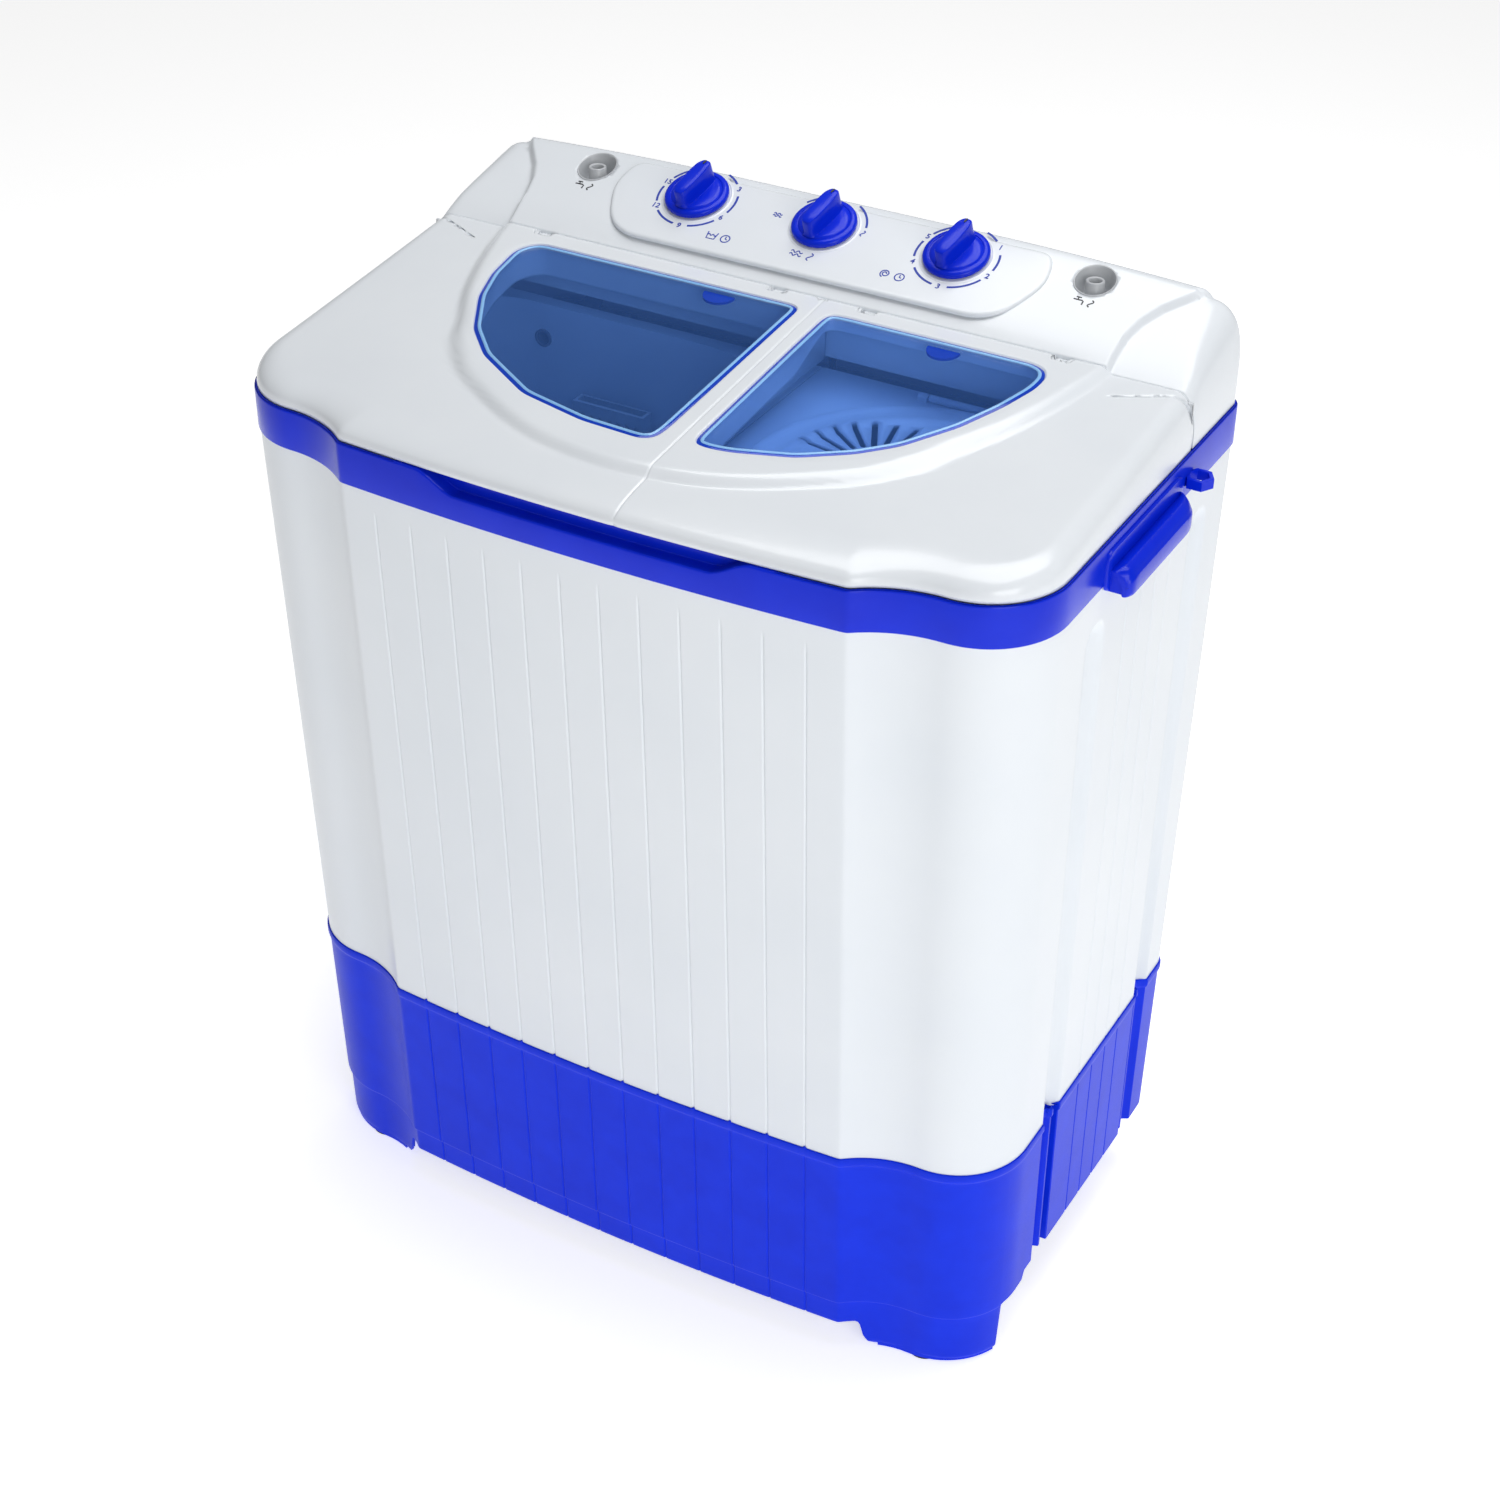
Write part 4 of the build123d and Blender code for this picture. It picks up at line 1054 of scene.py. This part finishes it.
def earPart(x):
    # a hinge ear: a round nose on a short arm from the console
    half = 5.0
    angles = np.radians(np.linspace(65, 295, 16))
    nose = [(hinge["y"] + 3.7 * math.cos(a), hinge["z"] + 3.7 * math.sin(a)) for a in angles]
    profile = nose + [(console["front"] + 1.5, hinge["z"] - 3.4), (console["front"] + 1.5, hinge["z"] + 2.0)]
    rings = [np.array([(x + s * half, y, z) for y, z in profile]) for s in (-1, 1)]
    return loopStack(rings, True, True)


makeConsole()
faceMatrix = Matrix.Translation((0, console["faceY"], console["faceZ"])) @ Matrix.Rotation(
    math.radians(console["faceAngle"]), 4, "X")


def onFace(points, x=0.0):
    # from the console face's own millimetres (x along, y up the face, z out of it) to the body's
    points = np.asarray(points, dtype=float)
    turned = points @ np.array(faceMatrix.to_3x3()).T + np.array(faceMatrix.translation)
    turned[:, 0] += x
    return turned


plate = {"middle": -3.7}
plateSide = [(100, -57), (158, -57), (174, -51), (184, -41), (191, -28), (198.5, -10), (199, 4), (196, 18), (191, 27)]
plateOutline = plateSide + [(-x, y) for x, y in plateSide[::-1]]


def makePlate():
    path = roundedPath(plateOutline, 6.0, 1.0, 3.0)
    rows = [(0, -1.0), (0, 0.2), (0.5, 1.2), (1.4, 1.9), (2.8, 2.25), (4.0, 2.3)]
    away = outward(path)
    rings = [np.column_stack([path - away * inset, np.full(len(path), height)]) for inset, height in rows]
    points, faces = loopStack(rings, True, True)
    addMesh("knobPlate", onFace(points, plate["middle"]), faces, plastics["glossWhiteAbs"], "cabinet",
            ["knob_plate"], "white_plastic", sharp=50)


makePlate()

knobs = {
    "x": {"wash_timer": -124.4, "flow_switch": -3.7, "spin_timer": 116.2},
    "gripLength": (-21.0, 20.5),
    "gripWidth": 6.6,
    "gripTop": (25.5, 27.5),
    "turn": 12.0,
}


def spun(points, degrees):
    # turned about the face's own normal
    c, s = math.cos(math.radians(degrees)), math.sin(math.radians(degrees))
    x, y, z = points.T
    return np.column_stack([x * c - y * s, x * s + y * c, z])


def makeKnob(name, x, body):
    # a stepped disc with a tall tapering grip that points up the face
    profile = [
        (0.01, 3.0), (25.5, 3.0), (26.8, 3.3), (27.5, 4.2), (27.5, 6.2), (27.0, 7.4), (25.6, 8.3), (23.6, 8.8),
        (22.8, 8.7), (22.3, 8.1), (21.6, 8.0), (21.0, 8.6), (20.2, 9.2), (18.0, 9.6), (12.0, 9.9), (0.01, 10.0),
    ]
    disc = turnProfile(profile, (0, 0), 72)
    low, high = knobs["gripLength"]
    count = 56
    angles = roundAngles(count)
    middle, half = (low + high) / 2, (high - low) / 2
    c, s = np.cos(angles), np.sin(angles)
    along = np.sign(s) * np.abs(s) ** 0.72 * half + middle
    taper = 1 - 0.10 * np.clip((along - middle) / half, 0, 1) ** 2
    across = np.sign(c) * np.abs(c) ** 0.5 * knobs["gripWidth"] * taper
    lowTop, highTop = knobs["gripTop"]
    crest = ([low, low + 6, high - 7, high], [lowTop - 1.5, lowTop, highTop, highTop - 1.0])
    top = np.interp(along, *crest)
    rings = []
    waist = [(0.0, 1.2), (0.08, 1.1), (0.2, 1.06), (0.6, 1.02), (0.93, 1.0), (0.98, 0.96), (1.0, 0.88)]
    for share, shrink in waist:
        z = 9.0 + (top - 9.0) * share
        y = middle + (along - middle) * (1 + (shrink - 1) * 0.35)
        rings.append(np.column_stack([across * shrink, y, z]))
    crown = rings[-1].copy()
    crown[:, 0] *= 0.6
    crown[:, 1] = middle + (crown[:, 1] - middle) * 0.9
    crown[:, 2] = np.interp(crown[:, 1], *crest) + 0.3
    rings.append(crown)
    grip = loopStack(rings, True, True)
    points, faces = joinParts([disc, grip])
    points = spun(points, -knobs["turn"])
    addMesh(name + "Knob", onFace(points, x), faces, plastics["polishedBlueAbs"], body, [name + "_knob"],
            "blue_plastic", sharp=42)
    # a small black pointer mark on the tip of the grip
    spot = [np.column_stack([0.9 * np.cos(angles[::4]) * r, 16.6 + 2.4 * np.sin(angles[::4]) * r,
                             np.full(14, highTop + 0.15 + 0.3 * lift)]) for r, lift in ((1, 0), (1, 1))]
    mark = loopStack([spun(ring, -knobs["turn"]) for ring in spot], True, True)
    addMesh(name + "Mark", onFace(mark[0], x), mark[1], plastics["printedBlackInk"], body)


for name, body in (("wash_timer", "wash_timer_control"), ("flow_switch", "flow_control"),
                   ("spin_timer", "spin_timer_control")):
    makeKnob(name, knobs["x"][name], body)


def makeWells():
    # a shallow moulded ring round each knob
    parts = []
    for x in knobs["x"].values():
        profile = [(27.9, 1.0), (28.0, 2.0), (29.2, 2.7), (30.4, 2.6), (31.4, 1.9), (31.6, 1.0)]
        points, faces = turnProfile(profile + [(27.9, 1.0)], (0, 0), 72)
        parts.append((onFace(points, x), faces))
    points, faces = joinParts(parts)
    addMesh("knobWells", points, faces, plastics["glossWhiteAbs"], "cabinet", slot="white_plastic")


makeWells()

dials = {
    "inner": 34.0,
    "outer": 35.9,
    "top": 2.45,
    # angles clockwise from straight up, in degrees
    "arcs": {
        "wash_timer": [(22, 46), (72, 106), (128, 166), (188, 226), (246, 276), (296, 324)],
        "flow_switch": [(-52, -8), (30, 76)],
        "spin_timer": [(20, 42), (70, 100), (122, 168), (190, 232), (254, 284), (302, 330)],
    },
    "figures": {
        "wash_timer": [("3", 58), ("6", 118), ("9", 178), ("12", 237), ("15", 286)],
        "spin_timer": [("1", 56), ("2", 112), ("3", 180), ("4", 244), ("5", 294)],
    },
    "figureSize": 7.6,
    "figureReach": 35.6,
}


def textPart(text, size):
    # generic dial figures, turned into a flat mesh
    curve = bpy.data.curves.new("figure", "FONT")
    curve.body = text
    curve.size = size
    curve.align_x = "CENTER"
    curve.align_y = "CENTER"
    curve.extrude = 0.08
    curve.offset = 0.12
    curve.resolution_u = 3
    holder = placed("figure", curve)
    mesh = evaluated(holder)
    bpy.data.objects.remove(holder)
    bpy.data.curves.remove(curve)
    return meshPart(mesh)


def strokePart(path, width, height=0.16, base=2.35):
    # a flat printed stroke along a path
    path = np.asarray(path, dtype=float)
    ahead = np.gradient(path, axis=0)
    ahead /= np.linalg.norm(ahead, axis=1, keepdims=True)
    side = np.stack([-ahead[:, 1], ahead[:, 0]], 1) * width / 2
    loop = []
    for spot, off in zip(path, side):
        loop.append([
            (*(spot - off), base - 0.1), (*(spot + off), base - 0.1), (*(spot + off), base + height),
            (*(spot - off), base + height)
        ])
    return loopStack([np.array(r) for r in loop], True, True)


def arcPath(a, b, radius, steps=14):
    angles = np.radians(np.linspace(a, b, steps))
    return np.stack([radius * np.sin(angles), radius * np.cos(angles)], 1)


def makeDials():
    parts = []
    for name, arcs in dials["arcs"].items():
        x = knobs["x"][name]
        for a, b in arcs:
            points, faces = strokePart(arcPath(a, b, (dials["inner"] + dials["outer"]) / 2),
                                       dials["outer"] - dials["inner"])
            parts.append((onFace(points, x), faces))
    for name, figures in dials["figures"].items():
        for text, angle in figures:
            points, faces = textPart(text, dials["figureSize"])
            reach = dials["figureReach"]
            points = points + np.array([
                reach * math.sin(math.radians(angle)), reach * math.cos(math.radians(angle)), dials["top"]])
            parts.append((onFace(points, knobs["x"][name]), faces))
    points, faces = joinParts(parts)
    addMesh("dialMarks", points, faces, plastics["printedBlueInk"], "cabinet", weld=0.0)


makeDials()
print("console, knobs and dials made")

marks = {
    "line": 1.0,
    # a sign, its place on the console face and its size
    "face": [("tub", -90.0, -38.0, 4.2), ("clock", -77.0, -38.5, 4.0), ("wave", -12.0, -36.0, 4.4),
             ("drop", 1.0, -36.5, 4.2), ("whirl", 69.0, -35.0, 4.4), ("clock", 82.0, -35.5, 4.0),
             ("wave", -48.0, 0.5, 3.2), ("drop", 30.5, 1.5, 3.2)],
    "ends": [("tap", -234.0, 162.0, 4.4), ("drop", -224.0, 162.0, 3.6), ("tap", 228.0, 162.0, 4.4),
             ("drop", 238.0, 162.0, 3.6)],
}


def signStrokes(kind):
    # plain signs drawn with a few strokes in a box from -1 to 1
    turn = np.linspace(0, 2 * math.pi, 25)
    circle = np.stack([np.cos(turn), np.sin(turn)], 1)
    across = np.linspace(-1, 1, 17)
    wave = np.stack([across * 1.2, 0.28 * np.sin(across * 2 * math.pi)], 1)
    fall = np.linspace(0, math.pi * 2, 21)
    drop = np.stack([0.62 * np.sin(fall) * np.sin(fall / 2), 1.0 - 2.0 * np.sin(fall / 4) ** 2], 1)
    whirl = np.stack([np.cos(turn * 1.7) * (0.25 + 0.12 * turn), np.sin(turn * 1.7) * (0.25 + 0.12 * turn)], 1)
    signs = {
        "clock": [circle, [(0, 0.62), (0, 0), (0.45, -0.2)]],
        "wave": [wave + (0, 0.45), wave - (0, 0.35)],
        "drop": [drop],
        "whirl": [whirl],
        "tub": [[(-1.1, 0.9), (-0.85, -0.9), (0.85, -0.9), (1.1, 0.9)], wave * 0.72 + (0, 0.15)],
        "tap": [[(-1.1, 0.3), (0.5, 0.3), (0.8, 0.1), (0.8, -0.7)], [(-0.3, 0.3), (-0.3, 0.9)],
                [(-0.8, 0.9), (0.2, 0.9)]],
    }
    return signs[kind]


def makeMarks():
    for name, group, ink in (("faceSigns", "face", "printedBlueInk"), ("endSigns", "ends", "printedBlackInk")):
        parts = []
        for kind, x, y, size in marks[group]:
            for stroke in signStrokes(kind):
                path = np.asarray(stroke, dtype=float) * size + (x, y)
                if group == "face":
                    points, faces = strokePart(path, marks["line"])
                    points = onFace(points)
                else:
                    points, faces = strokePart(path, marks["line"], base=0.1)
                    points[:, 2] += consoleHeight(points[:, 0], points[:, 1])
                parts.append((points, faces))
        addMesh(name, *joinParts(parts), plastics[ink], "cabinet", weld=0.0)


makeMarks()


cupProfile = [
    (5.2, -22), (16.9, -22), (17.2, -12), (17.3, 0), (17.0, 0.8), (16.2, 0.6), (15.6, -1.2), (14.8, -12),
    (13.6, -17), (12.0, -19.0), (8.6, -19.4), (7.9, -18), (7.6, -3), (7.1, -2.2), (6.4, -2), (5.6, -2.4),
    (5.2, -3.2), (5.2, -22),
]


def makeCups():
    # grey inlet cups with a short spigot
    for side, node in ((-1, "inlet_cup_left"), (1, "inlet_cup_right")):
        centre = (side * cups["x"], cups["y"])
        z = cups["z"]
        bowl = turnProfile([(radius, z + rise) for radius, rise in cupProfile], centre, 56)
        rim = slice(3 * 56, 7 * 56)
        ring = bowl[0][rim]
        bowl[0][rim, 2] = ring[:, 2] - z + consoleHeight(ring[:, 0], ring[:, 1])
        addMesh("inletCup" + ("Left" if side < 0 else "Right"), *bowl, plastics["greyAbs"], "cabinet", [node],
                "grey_plastic", sharp=45)


makeCups()

handle = {"y": (-51.0, 82.0), "flangeZ": (737.0, 770.5), "out": 20.0}


def makeHandle(side):
    # a thin backing flange against the band and a rounded grip bar, hollow from below
    wall = bodyShape["halfWidth"]
    low, high = handle["y"]
    zLow, zHigh = handle["flangeZ"]
    corners = [(low - 5, zLow), (high + 5, zLow), (high + 5, zHigh), (low - 5, zHigh)]
    flange = roundedPath(corners, 6.0, 0.5, 3.0)
    rings = []
    away = outward(flange)
    for out, inset in ((-0.6, 0.0), (1.6, 0.0), (2.4, 0.5), (2.6, 1.3)):
        spot = flange - away * inset
        rings.append(np.column_stack([np.full(len(spot), wall + out), spot[:, 0], spot[:, 1]]))
    plateShape = loopStack(rings, True, True)
    # the bar as sections along y
    section = np.array([
        (0.0, 754.5), (3.5, 756.3), (7.0, 757.8), (10.5, 758.0), (13.5, 757.2), (16.0, 755.6), (17.8, 753.4),
        (18.6, 751.8), (19.6, 751.0), (20.0, 749.0), (20.0, 744.0), (20.0, 739.5), (19.4, 737.0), (18.0, 736.0),
        (16.4, 737.0), (16.0, 740.0), (15.6, 748.0), (14.0, 750.5), (3.0, 750.0), (0.0, 749.5)
    ])
    stations = np.concatenate([
        low + np.array([0, 0.3, 0.9, 2.0, 3.6, 6.0, 9.0]), np.linspace(low + 14, high - 30, 8),
        high - np.array([24, 18, 13, 9, 6, 3.6, 1.8, 0.7, 0.0])
    ])
    rings = []
    for y in stations:
        frontRound = np.clip((low + 9.0 - y) / 9.0, 0, 1)
        rearRound = np.clip((y - (high - 24.0)) / 24.0, 0, 1)
        reach = 1 - 0.30 * (1 - math.sqrt(1 - frontRound**2))
        reach -= 0.94 * (1 - math.sqrt(max(0, 1 - rearRound**2.2)))
        topDrop = 6.0 * frontRound**2.5 + 1.5 * rearRound**3
        out = section[:, 0] * reach
        z = np.where(section[:, 1] > 745, section[:, 1] - topDrop * np.clip(out / 12, 0, 1), section[:, 1])
        x = wall + 2.0 + out * (handle["out"] - 2.0) / 20.0
        rings.append(np.column_stack([x, np.full(len(section), y), z]))
    bar = loopStack(rings, True, True)
    # end walls close the hollow
    closing = []
    for y0, y1 in ((low + 0.6, low + 4.0), (high - 6.0, high - 3.0)):
        closing.append(boxPart((wall + 1.0, wall + (13.5 if y0 < 0 else 8.0)), (y0, y1), (737.5, 752.0)))
    points, faces = joinParts([plateShape, bar] + closing)
    points[:, 0] *= side
    name, node = ("handleRight", "side_handle_right") if side > 0 else ("handleLeft", "side_handle_left")
    addMesh(name, points, faces, plastics["polishedBlueAbs"], "cabinet", [node], "blue_plastic", sharp=38,
            weld=0.005)


for side in (-1, 1):
    makeHandle(side)
print("cups and handles made")

# the tree that copies an item onto points, used for screws, louvres, slots, vanes and perforations


def makeScatterTree():
    tree = bpy.data.node_groups.new("scatterItems", "GeometryNodeTree")
    tree.interface.new_socket("Geometry", in_out="INPUT", socket_type="NodeSocketGeometry")
    tree.interface.new_socket("Item", in_out="INPUT", socket_type="NodeSocketObject")
    tree.interface.new_socket("Size", in_out="INPUT", socket_type="NodeSocketFloat")
    tree.interface.new_socket("Finish", in_out="INPUT", socket_type="NodeSocketMaterial")
    tree.interface.new_socket("Geometry", in_out="OUTPUT", socket_type="NodeSocketGeometry")
    start = addNode(tree, "NodeGroupInput")
    item = addNode(tree, "GeometryNodeObjectInfo", {"As Instance": True}, {"Object": start.outputs["Item"]})
    turn = addNode(tree, "GeometryNodeInputNamedAttribute", {"data_type": "FLOAT_VECTOR", "Name": "turn"})
    copies = addNode(tree, "GeometryNodeInstanceOnPoints", {}, {
        "Points": start.outputs["Geometry"], "Instance": item.outputs["Geometry"],
        "Rotation": turn.outputs["Attribute"], "Scale": start.outputs["Size"]})
    plain = addNode(tree, "GeometryNodeRealizeInstances", {}, {"Geometry": copies.outputs["Instances"]})
    dressed = addNode(tree, "GeometryNodeSetMaterial", {}, {
        "Geometry": plain.outputs["Geometry"], "Material": start.outputs["Finish"]})
    addNode(tree, "NodeGroupOutput", {}, {"Geometry": dressed.outputs["Geometry"]})
    return tree


scatterItems = makeScatterTree()


def scattered(item, spots, turns, finish, size=1.0):
    # item is (points, faces) in millimetres; the answer is one plain set of points and faces
    itemObject = placed("item", rawMesh("item", *item))
    holder = placed("spots", rawMesh("spots", spots, []))
    turned = holder.data.attributes.new("turn", "FLOAT_VECTOR", "POINT")
    turned.data.foreach_set("vector", np.asarray(turns, dtype=float).ravel())
    copies = holder.modifiers.new("copies", "NODES")
    copies.node_group = scatterItems
    values = {"Item": itemObject, "Size": size, "Finish": finish}
    for socket in scatterItems.interface.items_tree:
        if socket.in_out == "INPUT" and socket.name in values:
            copies[socket.identifier] = values[socket.name]
    mesh = evaluated(holder)
    bpy.data.objects.remove(itemObject)
    bpy.data.objects.remove(holder)
    return meshPart(mesh, mm)


rear = {
    "screws": [(x, z) for x in (-288.0, 0.0, 288.0) for z in (252.0, 710.0)],
    "face": 214.0,
    "lean": 17.6 / 516,
    "top": 743.0,
    "panel": ((-298.0, 298.0), (242.1, 719.9)),
    "louvreRows": 9,
    "louvreX": (-150.0, 0.0, 150.0),
    "louvreZ": (330.0, 522.0),
}


def rearFace(z):
    return rear["face"] - (rear["top"] - z) * rear["lean"]


def screwItem():
    # a pan head with a cross recess, looking up +Z
    angles = roundAngles(48)
    cross = 0.75 / np.maximum(0.34, np.minimum(np.abs(np.cos(angles)), np.abs(np.sin(angles))) + 0.02)
    cross = np.clip(cross, 0.0, 2.1)
    rings = []
    for radius, z in ((4.0, 0.0), (4.0, 0.7), (3.7, 1.4), (3.0, 1.9), (2.5, 2.0)):
        rings.append(np.column_stack([radius * np.cos(angles), radius * np.sin(angles), np.full(48, z)]))
    for z in (2.0, 0.9):
        rings.append(np.column_stack([cross * np.cos(angles), cross * np.sin(angles), np.full(48, z)]))
    return loopStack(rings, True, True)


def makeRear():
    # the service panel: a flat sheet with a pressed rim and three columns of louvres
    (x0, x1), (z0, z1) = rear["panel"]
    path = roundedPath([(x0, z0), (x1, z0), (x1, z1), (x0, z1)], 5.0, 1.0, 5.0)
    away = outward(path)
    rows = [(0.0, -5.4), (0.0, -3.2), (0.8, -2.7), (14.0, -2.7), (17.0, -1.7), (20.0, -1.2), (23.0, -1.7),
            (26.0, -2.7), (60.0, -2.7)]
    rings = []
    for inset, depth in rows:
        spot = path - away * inset
        rings.append(np.column_stack([spot[:, 0], rearFace(spot[:, 1]) + depth, spot[:, 1]]))
    sheet = loopStack(rings, True, True)
    profile = [(0.0, 0.0), (1.2, 2.6), (3.0, 3.6), (5.5, 3.4), (8.0, 0.0)]
    halves = np.array([-50, -48.5, -46, -42, 42, 46, 48.5, 50])
    rise = np.array([0.0, 0.55, 0.85, 1.0, 1.0, 0.85, 0.55, 0.0])
    sections = [np.array([(x, z * r, y) for y, z in profile]) for x, r in zip(halves, rise)]
    louvre = loopStack(sections, True, True)
    low, high = rear["louvreZ"]
    levels = np.linspace(low, high, rear["louvreRows"])
    spots = [(x, rearFace(z) - 2.75, z) for x in rear["louvreX"] for z in levels]
    louvres = scattered(louvre, spots, [(-rear["lean"], 0, 0)] * len(spots), galvanisedSteel)
    points, faces = joinParts([sheet, louvres])
    addMesh("rearPanel", points, faces, galvanisedSteel, "cabinet", ["rear_panel"], "white_plastic", sharp=28)
    spots = [(x, rearFace(z) - 0.1, z) for x, z in rear["screws"]]
    turns = [(-math.pi / 2 - rear["lean"], 0.4 * k, 0) for k in range(len(spots))]
    screws = scattered(screwItem(), spots, turns, turnedSteel)
    addMesh("rearScrews", *screws, turnedSteel, "cabinet", ["rear_panel_screws"], "steel", sharp=35)


makeRear()

spinner = {"centre": (186.0, -42.0), "lidLow": 772.0, "slots": 9, "fan": (150.0, -31.0), "holeRows": 7,
           "holesRound": 20}


innerLidProfile = [
    (0.01, 0), (128.5, 0), (131.0, 0.8), (131.0, 3.2), (129.5, 4.0), (124.0, 4.0), (122.0, 3.4), (119.0, 3.2),
    (112.0, 3.2), (109.5, 4.6), (105.0, 5.4), (100.5, 4.6), (98.0, 3.2), (52.0, 3.2), (50.0, 3.9), (47.0, 4.4),
    (44.0, 3.9), (42.0, 3.2), (0.01, 3.2),
]


def makeInnerLid():
    # the safety lid: a low disc with a raised arc and a fan of drain slots
    x, y = spinner["centre"]
    low = spinner["lidLow"]
    disc = turnProfile([(radius, low + rise) for radius, rise in innerLidProfile], (x, y), 96)
    tongue = boxPart((x - 50, x + 50), (60, 92.5), (low + 0.1, low + 3.9))
    angles = roundAngles(20)
    circle = [(95 + 3.0 * math.cos(a), 775 + 3.0 * math.sin(a)) for a in angles]
    tube = [np.array([(px, *spot) for spot in circle]) for px in (x - 50, x + 50)]
    lidPiece = addMesh("innerLid", *joinParts([disc, tongue, loopStack(tube, True, True)]),
                       plastics["palePolypropylene"], "inner_lid", ["spin_inner_lid"], "tub_plastic", sharp=30)
    ends = np.radians(np.linspace(-90, 90, 7))
    outline = [(18.0 + 2.4 * math.cos(a), 2.4 * math.sin(a)) for a in ends]
    outline += [(-18.0 - 2.4 * math.cos(a), -2.4 * math.sin(a)) for a in ends]
    slot = loopStack([np.array([(px, py, z) for px, py in outline]) for z in (-10.0, 20.0)], True, True)
    turns = [math.radians(62 + 13.5 * k) for k in range(spinner["slots"])]
    hubX, hubY = spinner["fan"]
    spots = [(hubX + 53 * math.cos(a), hubY + 53 * math.sin(a), low) for a in turns]
    cutAway(lidPiece, [scattered(slot, spots, [(0, 0, a) for a in turns], plastics["palePolypropylene"])])


makeInnerLid()


pulsator = {"centre": (-156.0, -37.0), "vanes": 6}


def makePulsator():
    # a dished disc with swept vanes round a hub
    x, y = pulsator["centre"]
    dish = turnProfile([
        (0.01, 307), (116.0, 307), (118.0, 309), (118.0, 313.5), (116.5, 315.5), (113.0, 315.6), (108.0, 313.4),
        (60.0, 313.0), (38.0, 316.0), (32.0, 322.0), (29.0, 329.0), (24.0, 331.4), (12.0, 332.0), (0.01, 332.0)
    ], (x, y), 96)
    rings = []
    for s in np.linspace(26, 112, 14):
        share = (s - 26) / 86
        half = 7.5 - 3.0 * share
        top = 329.0 - 13.0 * share**1.6
        sweep = 10.0 * share**2
        crown = [(-0.8, top - 3), (-0.35, top - 0.6), (0, top), (0.35, top - 0.6), (0.8, top - 3)]
        rings.append(np.array([(s, sweep + half * u, z) for u, z in [(-1, 311)] + crown + [(1, 311)]]))
    vane = loopStack(rings, True, True)
    count = pulsator["vanes"]
    turns = [(0, 0, math.radians(360 / count * k)) for k in range(count)]
    vanes = scattered(vane, [(x, y, 0)] * count, turns, plastics["palePolypropylene"])
    addMesh("pulsatorDisc", *joinParts([dish, vanes]), plastics["palePolypropylene"], "agitator", ["pulsator"],
            "tub_plastic", sharp=40)


makePulsator()


def makeBasket():
    # the spin basket: a perforated drum with a rolled rim
    x, y = spinner["centre"]
    drum = turnProfile([
        (5.0, 323), (28, 323), (30, 325), (30, 334), (118, 335), (123, 338), (124, 344), (124, 704), (127, 706),
        (128, 710), (127.4, 714), (125, 715), (121.6, 714), (121, 710), (121, 344), (119, 339.5), (116, 338.4),
        (34, 338.4), (30, 341), (28, 349), (24, 351), (5.0, 351), (5.0, 323)
    ], (x, y), 96)
    basket = addMesh("spinBasket", *drum, plastics["palePolypropylene"], "spinner", ["spin_basket"],
                     "tub_plastic", sharp=40)
    angles = roundAngles(8)
    circle = [(3.0 * math.cos(a), 3.0 * math.sin(a)) for a in angles]
    peg = loopStack([np.array([(r, *spot) for spot in circle]) for r in (110.0, 135.0)], True, True)
    spots, turns = [], []
    count = spinner["holesRound"]
    for row in range(spinner["holeRows"]):
        for k in range(count):
            spots.append((x, y, 390 + 46 * row))
            turns.append((0, 0, 2 * math.pi * (k + 0.5 * (row % 2)) / count))
    cutAway(basket, [scattered(peg, spots, turns, plastics["palePolypropylene"])])


makeBasket()
print("rear panel, safety lid, pulsator and basket made")

# carried-over pieces get their own finishes

finishes = {
    "rear_panel": galvanisedSteel,
    "base_legs": plastics["texturedBlueAbs"],
    "hose_hook": plastics["polishedBlueAbs"],
    "lint_filter": plastics["greyAbs"],
}
finishes.update(dict.fromkeys(["foot_pads", "cord_gland"], plastics["blackRubber"]))
finishes.update(dict.fromkeys(["rear_panel_screws", "handle_screws"], turnedSteel))
finishes.update(dict.fromkeys(["wash_window_clip", "spin_window_clip"], windowEdge))
tubParts = ["wash_tub", "spin_outer_tub", "spin_inner_lid", "pulsator", "spin_basket"]
finishes.update(dict.fromkeys(tubParts, plastics["palePolypropylene"]))
bySlot = {
    "white_plastic": plastics["glossWhiteAbs"],
    "blue_plastic": plastics["polishedBlueAbs"],
    "window_plastic": windowEdge,
    "tub_plastic": plastics["palePolypropylene"],
    "grey_plastic": plastics["greyNylon"],
    "rubber": plastics["blackRubber"],
    "steel": turnedSteel,
    "motor_metal": motorEnamel,
}


def finishNodes():
    for name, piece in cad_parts.items():
        finish = finishes.get(name)
        if finish is None:
            current = piece.material_slots[0].material.name if piece.material_slots else ""
            finish = next((value for key, value in bySlot.items() if key in current), galvanisedSteel)
        if not piece.material_slots:
            piece.data.materials.append(finish)
        for entry in piece.material_slots:
            entry.material = finish


finishNodes()
print("finishes done")
